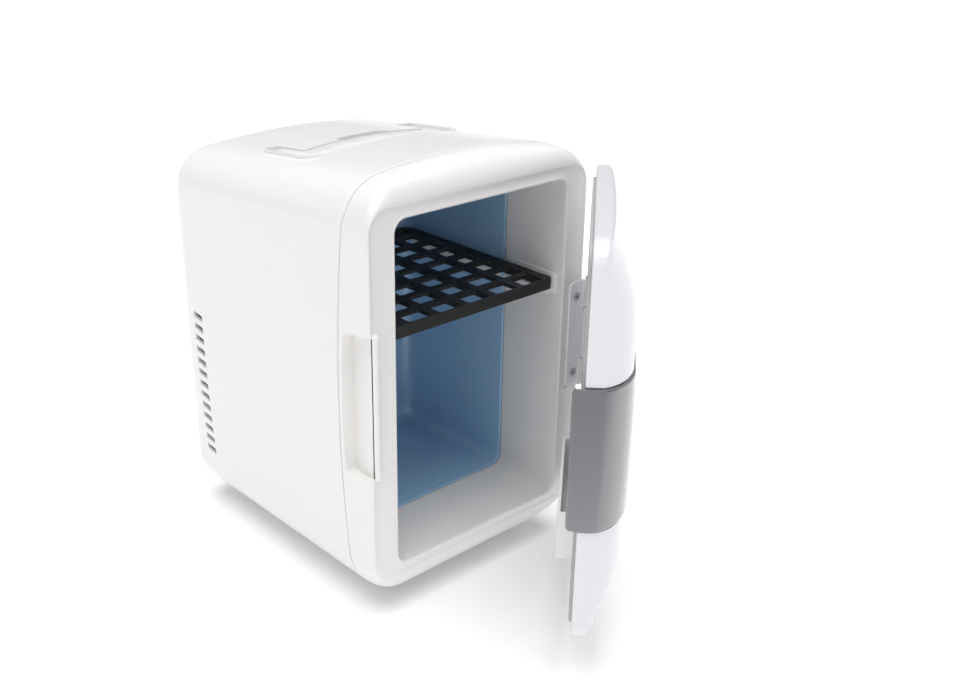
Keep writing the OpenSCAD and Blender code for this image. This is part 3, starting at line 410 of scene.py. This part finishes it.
def outline(a, top, bot, rt, rb, bulge=0.0, crown=0.0, nc=18, ns=34):
    """Rounded cabinet outline as an N x 2 ring (x, z), sides bulged and top crowned."""
    P = []
    def corner(cx, cz, r, a0):
        for q in arc(nc, a0, a0 + 90):
            P.append((cx + r * math.cos(q), cz + r * math.sin(q)))
    def side(p, q):
        for s in np.linspace(0, 1, ns, endpoint=False)[1:]:
            P.append((p[0] + (q[0] - p[0]) * s, p[1] + (q[1] - p[1]) * s))
    corner(a - rt, top - rt, rt, 0)
    side((a - rt, top), (-a + rt, top))
    corner(-a + rt, top - rt, rt, 90)
    side((-a, top - rt), (-a, bot + rb))
    corner(-a + rb, bot + rb, rb, 180)
    side((-a + rb, bot), (a - rb, bot))
    corner(a - rb, bot + rb, rb, 270)
    side((a, bot + rb), (a, top - rt))
    P = np.array(P)
    u = np.clip((P[:, 1] - 137.0) / 113.0, -1, 1)
    w = np.clip(np.abs(P[:, 0]) / a, 0, 1)
    wc = np.clip(np.abs(P[:, 0]) / (a - rt + 4.0), 0, 1)
    hz = (top - bot) / 2
    up = np.clip((P[:, 1] - (top + bot) / 2) / hz, 0, 1)
    x = P[:, 0] + np.sign(P[:, 0]) * bulge * (1 - u ** 2) * w
    z = P[:, 1] + crown * (1 - wc ** 2) * up
    return np.stack([x, z], 1)


def body_ring(y, o=0.0, yy=None):
    """Cabinet section at depth y, offset inwards by o, placed at depth yy."""
    def inset(c, r, d):
        return r - math.sqrt(max(0.0, r * r - max(0.0, d) ** 2))
    s = inset(0, 16, -87.5 - y) + inset(0, 20, y - 83)
    t = inset(0, 20, -80.5 - y) + inset(0, 20, y - 83)
    b = inset(0, 24, -76.5 - y) + inset(0, 20, y - 83)
    lim = min(90.0, 91.0 - 4.0 * max(0.0, y - seam) / 181.0) - s
    bulge = max(0.0, min(6.0, lim - 84.0))
    a = lim - bulge - o
    crown = max(0.0, 4.0 - t * 0.6)
    top = z_top(max(y, seam)) - crown - t - o
    if y < seam:
        top = 270.0 - crown - t - o
    bot = 7.0 + b + o
    rt = max(5.0, 28.0 - 0.9 * max(s, t) - o)
    rb = max(5.0, 32.0 - 0.9 * max(s, b) - o)
    return ring_y(outline(a, top, bot, rt, rb, bulge, crown), y if yy is None else yy)


def plain_ring(hx, z0, z1, r, y):
    """Rounded rectangle with the same point layout as body_ring."""
    return ring_y(outline(hx, z1, z0, r, r), y)


# --- rear shell: seam lip, crowned skin, rounded rear edges, rear wall with its service opening
rings = [plain_ring(60, 28, 224, 10, yR - 2.5)]
rings.append(body_ring(yR - 0.2, 2.6, yR - 2.6))
for y in (yR - 5, yR - 11, yR - 19):
    rings.append(body_ring(y + 1.5, 2.5, y))
for y in np.linspace(yR - 30, seam + 1.4, 12):
    rings.append(body_ring(y, 2.5))
rings.append(body_ring(seam + 0.45, 2.3))
rings.append(body_ring(seam + 0.40, 0.75))
rings.append(body_ring(seam + 0.55, 0.30))
rings.append(body_ring(seam + 0.95, 0.06))
for y in np.linspace(seam + 1.6, yR - 20, 34):
    rings.append(body_ring(y, 0.0))
for q in arc(13, 0, 90)[1:]:
    rings.append(body_ring(yR - 20 + 20 * math.sin(q)))
last = rings[-1]
hole = plain_ring(60, 28, 224, 10, yR)
for k in (0.25, 0.6):
    rings.append(last * (1 - k) + hole * k)
rings.append(plain_ring(60.3, 27.7, 224.3, 10.3, yR))
rings.append(plain_ring(60, 28, 224, 10, yR - 0.3))
rings.append(rings[0])
v, f = loft(rings)
shell = make("cabinet_shell", v, f, m_shell, "cabinet", ["rear_shell"])

TILT = Matrix.Translation((0, 0.030, z_top(30) * MM)) @ Matrix.Rotation(-SLOPE, 4, "X")


def cutter(parts, bev=0.0, mat=None, seg=3):
    """Boxes as one boolean tool, optionally in the tilted frame of the carry handle."""
    bm = bmesh.new()
    for lo, hi in parts:
        box_bm(bm, lo, hi, bev, seg)
    if mat is not None:
        bm.transform(mat)
    bmesh.ops.recalc_face_normals(bm, faces=bm.faces)
    me = bpy.data.meshes.new("tool")
    bm.to_mesh(me)
    bm.free()
    o = bpy.data.objects.new("tool", me)
    sc.collection.objects.link(o)
    return o


def prism_tool(rings_, mat=None):
    v_, f_ = loft(rings_, True, True)
    o = temp("tool", v_, f_)
    if mat is not None:
        o.data.transform(mat)
    return o


def plate_rings(x0, x1, y0, y1, r, zs, nc=6, ns=3):
    """Rounded rectangle in plan, at the heights zs."""
    P = rr(x0, x1, y0, y1, r, nc, ns)
    return [np.stack([P[:, 0], P[:, 1], np.full(len(P), z)], 1) for z in zs]


def volume(me):
    b_ = bmesh.new()
    b_.from_mesh(me)
    v_ = b_.calc_volume(signed=True) * 1e9
    b_.free()
    return v_


def boolean(o, tools, op="DIFFERENCE"):
    """One tool at a time; a result whose volume can't be right is tried again with the tool a hair aside."""
    if len(tools) > 1:
        for c in tools:
            boolean(o, [c], op)
        return
    c = tools[0]
    was, tool = volume(o.data), abs(volume(c.data))
    for k, (ex, ey, ez) in enumerate(((0, 0, 0), (0.03, 0.02, -0.04), (-0.03, 0.04, 0.05), (0.05, -0.05, 0.03), (-0.06, -0.03, -0.05), (0.08, 0.07, 0.06))):
        c.location = (ex * MM, ey * MM, ez * MM)
        md = o.modifiers.new("b", "BOOLEAN")
        md.operation = op
        md.solver = "EXACT"
        md.object = c
        bpy.context.view_layer.update()
        dg = bpy.context.evaluated_depsgraph_get()
        me = bpy.data.meshes.new_from_object(o.evaluated_get(dg))
        o.modifiers.clear()
        now = volume(me)
        good = was - tool * 1.01 <= now <= was * 1.0001 if op == "DIFFERENCE" else was * 0.9999 <= now <= was + tool * 1.01
        if good and len(me.polygons) > 40:
            break
        if k < 5:
            bpy.data.meshes.remove(me)
    else:
        raise RuntimeError("boolean failed on " + o.name)
    old = o.data
    o.data = me
    bpy.data.meshes.remove(old)
    m_ = c.data
    bpy.data.objects.remove(c)
    bpy.data.meshes.remove(m_)
    keep = [m for m in o.data.materials][:1]
    o.data.materials.clear()
    for m in keep:
        o.data.materials.append(m)
    o.data.polygons.foreach_set("material_index", [0] * len(o.data.polygons))


# solid ground under the handle well
boolean(shell, [prism_tool(plate_rings(-59.2, 59.2, -45.2, 7.6, 9, (-12.3, -2.4)), TILT)], "UNION")
# well: rounded front bar, two arms, finger scoop
boolean(shell, [
    prism_tool(plate_rings(-56.5, 56.5, -42.52, -21.4, 8.2, (-10.6, 14)), TILT),
    prism_tool(plate_rings(46.08, 56.45, -32.4, 5.2, 3.0, (-10.57, 14.2)), TILT),
    prism_tool(plate_rings(-56.45, -46.08, -32.4, 5.2, 3.0, (-10.54, 14.3)), TILT),
    prism_tool(plate_rings(-18, 18, -30.2, -14.6, 3.0, (-10.63, 14.4)), TILT)])
# slanted side vents
for sx in (-1, 1):
    parts = []
    for i in range(13):
        z0 = 45.4 + 8.07 * i
        P = np.array([(69.5, z0), (79.5, z0 + 1.5), (79.5, z0 + 5.7), (69.5, z0 + 4.2)])
        # corners softened
        Q = []
        for k in range(4):
            p, a_, b_ = P[k], P[(k - 1) % 4], P[(k + 1) % 4]
            ua, ub = (a_ - p) / np.linalg.norm(a_ - p), (b_ - p) / np.linalg.norm(b_ - p)
            for tt in (0.0, 0.25, 0.5, 0.75, 1.0):
                Q.append(p + 0.9 * ((1 - tt) ** 2 * ua + tt ** 2 * ub))
        Q = np.array(Q)
        parts.append([np.stack([np.full(len(Q), x_), Q[:, 0], Q[:, 1]], 1) for x_ in (sx * 70.0, sx * 100.0)])
    V_, F_ = [], []
    for ring_pair in parts:
        v_, f_ = loft(ring_pair, True, True)
        off = sum(len(q) for q in V_)
        V_.append(v_)
        F_ += [tuple(i + off for i in t) for t in f_]
    boolean(shell, [temp("tool", np.concatenate(V_), F_)])
shade(shell, 32)

# --- front frame: rounded nose, crease, shallow land, tongue behind the seam
open_ring = plain_ring(68.2, 32.05, 247.95, 10.0, -100.15)
rings = [body_ring(seam + 4.6, 4.3), body_ring(seam - 1.0, 4.4)]
for y in (-82, -88, -93.5):
    rings.append(body_ring(y, 2.6))
back_out = body_ring(-97.0, 3.2, -96.4)
rings.append(back_out)
hole_b = plain_ring(68.35, 31.9, 248.1, 10.1, -96.4)
rings.append(back_out * 0.5 + hole_b * 0.5)
rings.append(hole_b)
rings.append(open_ring)
edge = body_ring(-100.0, 2.5, -99.4)
for k, y_ in ((0.07, -100.05), (0.16, -99.92), (0.28, -99.76), (0.42, -99.6), (0.58, -99.48), (0.76, -99.4)):
    q_ = open_ring * (1 - k) + edge * k
    q_[:, 1] = y_
    rings.append(q_)
rings.append(edge)
for o_, y_ in ((2.1, -99.46), (1.75, -99.6), (1.4, -99.79), (1.1, -99.93), (0.75, -100.0), (0.4, -99.97)):
    rings.append(body_ring(-100.0, o_, y_))
for y in (-99.8, -99.4, -98.8, -98.0, -97.0, -95.8, -94.4, -92.8, -91.0, -89.0, -87.2, -85.4, -83.4, -81.4, -79.6):
    rings.append(body_ring(y, 0.0))
rings.append(body_ring(seam - 0.95, 0.05))
rings.append(body_ring(seam - 0.45, 0.28))
rings.append(body_ring(seam - 0.28, 0.75))
rings.append(body_ring(seam - 0.30, 2.4))
rings.append(body_ring(seam + 4.6, 2.75))
rings.append(rings[0])
v, f = loft(rings)
front = make("cabinet_front", v, f, m_frame, "cabinet", ["front_frame"])
lz0, lz1 = 101.7, 182.3
# pocket for the latch hook: solid ground first, then the pocket and its side entrance
P = [(-75.5, -98.0)]
for y in np.linspace(-98.0, -79.9, 14):
    s_ = 16 - math.sqrt(max(0, 256 - max(0, -87.5 - y) ** 2))
    P.append((-(88.1 - s_), y))
P.append((-75.5, -79.9))
P = np.array(P)
boolean(front, [prism_tool([np.stack([P[:, 0], P[:, 1], np.full(len(P), z)], 1) for z in (lz0 - 6.4, lz1 + 6.4)])], "UNION")
Q = rr(-98.8, -81.8, lz0 - 5.0, lz1 + 2.7, 6.2, 8, 4)
pocket = [np.stack([np.full(len(Q), x_), Q[:, 0], Q[:, 1]], 1) for x_ in (-100.0, -81.6)]
Q2 = rr(-104.0, -95.1, lz0 - 3.83, lz1 + 2.07, 2.2, 6, 4)
entry = [np.stack([np.full(len(Q2), x_), Q2[:, 0], Q2[:, 1]], 1) for x_ in (-101.0, -82.4)]
boolean(front, [prism_tool(pocket), prism_tool(entry), cutter([((72.8, -105, 105.8), (95, -98.8, 178.2))])])
shade(front, 32)

# catch rib, rounded all over, standing proud of the land and falling away gently on the side of the opening
def rib_ring(y, li, ri, zi):
    P_ = rr(-82.4 + li, -76.4 - ri, lz0 - 6.2 + zi, lz1 + 3.4 - zi, min(2.3, (6.0 - li - ri) / 2 - 0.03), 10, 12)
    return ring_y(P_, y)

v, f = loft([rib_ring(*q_) for q_ in ((-98.45, 0.12, 0.3, 0.1), (-98.7, 0.0, 0.1, 0.0), (-99.0, 0.0, 0.0, 0.0), (-99.25, 0.0, 0.35, 0.05), (-99.6, 0.0, 0.8, 0.15), (-100.1, 0.0, 1.3, 0.35), (-100.6, 0.05, 1.7, 0.6),
                                   (-101.0, 0.2, 2.05, 0.9), (-101.35, 0.5, 2.4, 1.2), (-101.62, 0.9, 2.7, 1.6), (-101.8, 1.35, 2.95, 2.0), (-101.88, 1.75, 3.1, 2.4))], True, True)
rib = make("catch_rib", v, f, m_frame, "cabinet")
shade(rib, 50)

# --- front liner: throat, rolled lip, tub flange, shelf ledges
def opening(g, r, y):
    return plain_ring(66.25 + g, 34 - g, 246 + g, r, y)

rings = [opening(8, 16, -50.02), opening(0.02, 8, -50.02)]
for y in np.linspace(-54, -97.5, 7):
    rings.append(opening(0, 8, y))
for g_, y_ in ((0.02, -99.3), (0.16, -99.95), (0.45, -100.35), (0.85, -100.56), (1.25, -100.6), (1.6, -100.5), (1.88, -100.2), (2.03, -99.7), (2.05, -99.12)):
    rings.append(opening(g_, 8 + g_, y_))
rings += [opening(2.0, 10, -98.9), opening(2.0, 10, -52.1), opening(8, 16, -52.1), rings[0]]
v, f = loft(rings)
bm = bmesh.new()
me = bpy.data.meshes.new("tmp")
me.from_pydata([tuple(q) for q in v], [], f)
bm.from_mesh(me)
bpy.data.meshes.remove(me)
bmesh.ops.remove_doubles(bm, verts=bm.verts, dist=1e-6)
for s_ in (-1, 1):
    x0, x1 = sorted((s_ * 67.25, s_ * 62.05))
    box_bm(bm, (x0, -91.0, 170.7), (x1, -52.2, 174.75), 0.9, 3)
    x0, x1 = sorted((s_ * 67.25, s_ * 65.25))
    box_bm(bm, (x0, -95.0, 171.4), (x1, -52.2, 184.9), 0.85, 3)
liner = bm_obj("inner_liner", bm, m_liner, "cabinet", ["front_liner"], 38)

# --- blue tub with soft inner corners
def tub_ring(g, y, r=8.0):
    return plain_ring(65.75 - g, 34.5 + g, 245.5 - g, max(1.0, r - g * 0.55), y)

rings = []
for q in arc(9, 90, 0):
    rings.append(tub_ring(9 * (1 - math.cos(q)), 38 + 9 * math.sin(q)))
for y in np.linspace(28, -47, 8):
    rings.append(tub_ring(0, y))
rings.append(tub_ring(-0.15, -48.9))
rings.append(tub_ring(-0.6, -49.35))
rings.append(tub_ring(-8.4, -49.4, 11))
rings.append(tub_ring(-8.4, -48.25, 11))
rings.append(tub_ring(-1.2, -48.2))
rings.append(tub_ring(-1.2, 38))
rings.append(tub_ring(2.0, 46.4))
rings.append(tub_ring(8, 48.2))
v, f = loft(rings, True, True)
tub = make("cold_tub_film", v, f, m_blue, "cabinet", ["cold_tub"])
shade(tub, 45)

# ------------------------------------------------------------------ door
ROT = Matrix.Translation((PX * MM, PY * MM, 0)) @ Matrix.Rotation(OPEN, 4, "Z") @ Matrix.Translation((-PX * MM, -PY * MM, 0))


def thick(x, z):
    """Depth of the pillow-shaped door in front of its inner plane, at rest in the closed place."""
    dx, dz = 83.5 - abs(x), 114.0 - abs(z - 142.0)
    X_ = 1.0
    if dx < 28:
        X_ = math.sqrt(max(0.0, 1 - ((28 - max(dx, 0)) / 28) ** 2))
    Z_ = 1.0
    if dz < 46:
        Z_ = 0.28 + 0.72 * (1 - ((46 - max(dz, 0)) / 46) ** 2)
    return 6.0 + 20.0 * X_ * Z_ - (x * x / 2600.0) * X_ - ((z - 142.0) ** 2 / 4200.0) * Z_


def door_ring(e, y=None, drop=0.0, r=None):
    P_ = rr(-83.5 + e, 83.5 - e, 28 + e, 256 - e, max(16 - e * 0.8, 0.8) if r is None else r, 14, 40)
    if y is None:
        y = np.array([-102.5 - thick(p[0], p[1]) + drop for p in P_])
    return ring_y(P_, y)


rings = [door_ring(40, -104.5), door_ring(10, -104.5), door_ring(2.6, -104.5), door_ring(2.52, -104.35), door_ring(2.5, -103.1), door_ring(2.38, -102.82), door_ring(2.1, -102.67),
         door_ring(1.5, -102.65), door_ring(0.75, -102.65), door_ring(0.4, -102.74), door_ring(0.14, -102.98), door_ring(0.02, -103.35), door_ring(0.0, -104.4)]
r_e = 1.8
e_ = 0.0
for a_ in (0, 18, 36, 54, 72):
    q = math.radians(a_)
    e_ = r_e * (1 - math.cos(q))
    base = door_ring(e_)
    low = np.minimum(base[:, 1] + r_e * (1 - math.sin(q)), -105.95 - 0.02 * a_)
    base[:, 1] = low
    rings.append(base)
for e_ in (1.9, 2.6, 3.5, 4.6, 5.9, 7.4, 9.1, 11, 13, 15.2, 17.6, 20.2, 23, 26, 29, 32.5, 36.5, 41, 46, 52, 58, 64, 70, 75.5, 80, 82.6):
    rings.append(door_ring(e_))
v, f = loft(rings, True, True)
door = make("door_skin", v, f, m_door, "door", ["door_shell"])
lx = -74.0
def ybox(x0, x1, y0, y1, z0, z1, r, y_axis=True):
    P_ = rr(x0, x1, z0, z1, r, 6, 6)
    return prism_tool([ring_y(P_, y0), ring_y(P_, y1)])

def recess():
    """Seat of the latch handle: deep enough for the plate to rock inwards, 3 mm under the surface near the free edge."""
    out = []
    z0, z1 = lz0 - 1.3, lz1 + 1.3
    for z in [z0, z0 + 0.4, z0 + 1.0, z0 + 1.9, z0 + 3.0, z0 + 4.6] + list(np.linspace(z0 + 9, z1 - 9, 9)) + [z1 - 4.6, z1 - 3.0, z1 - 1.9, z1 - 1.0, z1 - 0.4, z1]:
        d = min(z - z0, z1 - z)
        xe = -13.1 - (4.6 - math.sqrt(max(0.0, 4.6 ** 2 - max(0.0, 4.6 - d) ** 2)))
        P_ = [(xe, -141.0)]
        for k in np.linspace(0, 1, 26):
            x = xe + (-81.15 - xe) * k
            P_.append((x, min(-104.2, max(-118.3, -102.5 - thick(max(x, -83.5), z) + 3.0))))
        P_ += [(-81.2, -99.0), (-96.0, -99.1), (-96.2, -141.2)]
        out.append(np.array([(p[0], p[1], z) for p in P_]))
    return out

boolean(door, [
    ybox(-47.5, 47.5, -115.4, -101.0, 53.5, 91.5, 4.2),
    prism_tool(recess()),
    cutter([((72.85, -105.55, 105.85), (95, -100, 178.15))])])
door.data.transform(ROT)
shade(door, 34)

# rigid foam behind the door skin, seen only when the door is taken apart
rings = [door_ring(44, -106.2), door_ring(3.2, -106.2)]
for e_ in (3.1, 3.4, 4.2, 5.6, 7.6, 10, 13, 17, 22, 28, 36, 46, 58, 70, 80):
    q_ = door_ring(e_ + 0.4, drop=2.8)
    q_[:, 1] = np.minimum(q_[:, 1], -106.3 - 0.02 * e_)
    rings.append(q_)
v, f = loft(rings, True, True)
foam = make("door_core", v, f, m_foam, "door", ["door_foam"])
boolean(foam, [
    ybox(-48.2, 48.2, -116.6, -103.5, 52.7, 92.3, 4.8),
    ybox(-95, -10.5, -140, -116.1, lz0 - 3.8, lz1 + 3.8, 4.0),
    ybox(-95.2, -67, -140.2, -114.2, lz0 - 3.7, lz1 + 3.7, 3.0),
    ybox(-95.4, -77.5, -140.4, -100.5, lz0 - 3.6, lz1 + 3.6, 2.6)])
foam.data.transform(ROT)
shade(foam, 34)

# --- latch handle: plate that follows the door, wraps its free edge and hooks behind the rib
def latch_ring(z, g_out, g_in, xe):
    """Closed section at height z; g_out and g_in are the offsets from the door surface."""
    outer = [(-82.05, -96.45), (-81.85, -96.75), (-81.85, -97.6), (-82.05, -97.9), (-82.5, -97.9), (-82.75, -98.3), (-82.8, -99.5), (-82.8, -102.2)]
    inner_side = outer
    xs_in = [-82.3, -81.9, -81.4, -80.8, -80.0, -79.0, -77.8, -76.2, -74.2, -72, -69.5, -66.5, -63, -59, -54, -48, -42, -36, -30, -24, -19]
    ring = list(inner_side)
    def surf(x, g):
        return -102.5 - thick(max(min(x, 83.5), -83.5), z) - g
    def proud(x):
        return g_out * (1.0 if x < -58 else max(0.15, 1.0 - 0.85 * ((x + 58) / 38.0)))
    for x in xs_in:
        xx = -82.3 + (x + 82.3) / (-19 + 82.3) * (xe - 1.0 + 82.3)
        ring.append((xx, min(surf(xx, -1.2 - g_in), -103.4)))
    # rounded free end
    ye = surf(xe, 0)
    for q in arc(7, 90, -90):
        rad = (proud(xe) + 1.2 + g_in) / 2
        ring.append((xe - rad * 0.9 + rad * 0.9 * math.cos(q), ye - (proud(xe) - 1.2 - g_in) / 2 + rad * math.sin(q)))
    out = []
    xs_out = [xe - 3.5, -22, -28, -34, -40, -46, -52, -58, -62.5, -66.5, -70, -73, -75.6, -77.8, -79.6, -81.1, -82.3, -83.2, -83.9, -84.4]
    xs_out[0] = xe - 2.5
    for x in xs_out:
        k = min(1.0, max(0.0, (-76 - x) / 8.4))
        xq = x + k * 1.3
        out.append((x, surf(xq, proud(x) * (1 - 0.25 * k))))
    ring += out
    dz_e = min(z - lz0, lz1 - z)
    y_lim = -96.3 - (3.0 - math.sqrt(max(0.0, 9.0 - max(0.0, 3.0 - dz_e) ** 2)))
    ring += [(-84.72, -107.6), (-84.8, -105.5), (-84.8, -102.5), (-84.8, -99.5), (-84.75, -97.2), (-84.4, -96.55), (-83.8, -96.3), (-82.2, -96.3)]
    if y_lim < -96.31:
        low = y_lim < -97.9
        for i_, p_ in enumerate(ring):
            if p_[1] > y_lim and p_[0] > -83.0 and low:
                ring[i_] = (-82.78 - 0.01 * (i_ % 40), y_lim - 0.01 * (i_ % 40))
            elif p_[1] > y_lim:
                ring[i_] = (p_[0], y_lim)
    return np.array([(p[0], p[1], z) for p in ring])

zs, rings = [], []
H = lz1 - lz0
for k, (dz_, sh) in enumerate(((0.0, 0.95), (0.12, 0.6), (0.35, 0.33), (0.7, 0.13), (1.1, 0.03))):
    zs.append((dz_, sh))
levels = [(lz0 + d_, s_) for d_, s_ in zs]
levels += [(lz0 + t_, 0.0) for t_ in (1.8, 2.6, 3.4, 4.2, 5.0)]
levels += [(z_, 0.0) for z_ in np.linspace(lz0 + 8, lz1 - 8, 17)]
levels += [(lz1 - t_, 0.0) for t_ in (5.0, 4.2, 3.4, 2.6, 1.8)]
levels += [(lz1 - d_, s_) for d_, s_ in reversed(zs)]
for z_, sh in levels:
    dze = min(z_ - lz0, lz1 - z_)
    xe = -15.5
    if dze < 5:
        xe -= 5 - math.sqrt(max(0.0, 25 - (5 - dze) ** 2))
    rings.append(latch_ring(z_, 1.3 - sh, -sh * 0.4, xe))
v, f = loft(rings, True, True)
latch = make("latch_pull", v, f, m_grey, "latch", ["latch_handle"])
latch.data.transform(ROT)
shade(latch, 36)

# --- pivot pin of the latch, inside the handle
P_ = [(0.02, lz0 + 1.6), (1.1, lz0 + 1.6), (1.38, lz0 + 1.9), (1.38, lz0 + 14), (1.38, 142.0), (1.38, lz1 - 14), (1.38, lz1 - 1.9), (1.1, lz1 - 1.6), (0.02, lz1 - 1.6)]
v, f = loft([np.array([(lx + r_ * math.cos(q), -120.2 + r_ * math.sin(q), z_) for q in np.linspace(0, 2 * math.pi, 28, endpoint=False)]) for r_, z_ in P_], True, True)
pin = make("latch_axle", v, f, m_steel, "door", ["latch_pin"])
pin.data.transform(ROT)
shade(pin, 40)

# --- return spring of the latch: one wound wire with its leg
def tube(path, r, n=8):
    path = [Vector(p) for p in path]
    R_ = []
    ref = Vector((0.0, 0.0, 1.0))
    for i, p in enumerate(path):
        t_ = (path[min(i + 1, len(path) - 1)] - path[max(i - 1, 0)]).normalized()
        a_ = t_.cross(ref)
        a_ = (a_ if a_.length > 1e-3 else t_.cross(Vector((1, 0, 0)))).normalized()
        b_ = t_.cross(a_)
        R_.append(np.array([list(p + r * (math.cos(q) * a_ + math.sin(q) * b_)) for q in np.linspace(0, 2 * math.pi, n, endpoint=False)]))
    return R_

path = [(lx + 2.05 * math.cos(q), -120.2 + 2.05 * math.sin(q), 142.0 - 8.2 + 0.84 * q / (2 * math.pi)) for q in np.linspace(0, 2 * math.pi * 8, 8 * 22 + 1)]
path += [(lx + 2.3, -119.6, 140.6), (lx + 4, -119.45, 140.65), (lx + 8, -119.1, 140.7), (lx + 12, -118.75, 140.75)]
v, f = loft(tube(path, 0.36), True, True)
coil = make("return_coil", v, f, m_steel, "door", ["latch_spring"])
coil.data.transform(ROT)
shade(coil, 60)

# ------------------------------------------------------------------ real edge rounding on kept nodes
def soften(name, width, seg=2, angle=35):
    o = N[name]
    w = o.modifiers.new("weld", "WELD")
    w.merge_threshold = 2e-6
    b = o.modifiers.new("round", "BEVEL")
    b.width = width * MM
    b.segments = seg
    b.limit_method = "ANGLE"
    b.angle_limit = math.radians(angle)
    b.use_clamp_overlap = True
    b.harden_normals = True

for nm, w_ in (("shelf", 0.45), ("shelf_rails", 0.5), ("rear_cover", 0.35), ("door_bin", 0.45), ("foot_front_left", 0.5), ("foot_front_right", 0.5),
               ("foot_rear_left", 0.5), ("foot_rear_right", 0.5), ("carry_handle", 0.7), ("door_liner", 0.45), ("mode_switch", 0.3)):
    soften(nm, w_)

# ------------------------------------------------------------------ studio
m_floor = Mat("floor")
nf = m_floor.noise(3.0, 2, 0.5)
m_floor.link(m_floor.ramp(nf, [(0.3, (0.94, 0.94, 0.94)), (0.7, (0.955, 0.955, 0.955))]), m_floor.b.inputs["Base Color"])
m_floor.b.inputs["Roughness"].default_value = 0.6
m_floor.b.inputs["Specular IOR Level"].default_value = 0.0
m_floor.b.inputs["Emission Color"].default_value = (1.0, 1.0, 1.0, 1)
m_floor.b.inputs["Emission Strength"].default_value = 0.10
bm = bmesh.new()
cx_, cy_ = 0.4, 0.6
vs = [bm.verts.new((cx_ + 22.0 * math.cos(q), cy_ + 22.0 * math.sin(q), -0.0001)) for q in np.linspace(0, 2 * math.pi, 96, endpoint=False)]
bm.faces.new(vs)
floor = bm_obj("floor", bm, m_floor.m, smooth_angle=40)

world = bpy.data.worlds.new("studio")
sc.world = world
world.use_nodes = True
bg = world.node_tree.nodes["Background"]
bg.inputs["Color"].default_value = (1.0, 1.0, 1.0, 1)
bg.inputs["Strength"].default_value = 0.22


def soft_sun(name, toward, energy, angle, col=(1, 1, 1)):
    L = bpy.data.lights.new(name, "SUN")
    L.energy = energy
    L.angle = math.radians(angle)
    L.color = col
    o = bpy.data.objects.new(name, L)
    sc.collection.objects.link(o)
    o.rotation_euler = Vector(toward).to_track_quat("-Z", "Y").to_euler()
    return o


soft_sun("overhead", (0.0, 0.05, -1.0), 2.85, 60)
soft_sun("left_soft", (0.7, 0.0, -1.0), 0.34, 45)
soft_sun("front_left", (0.5, 0.8, -0.4), 0.19, 45)
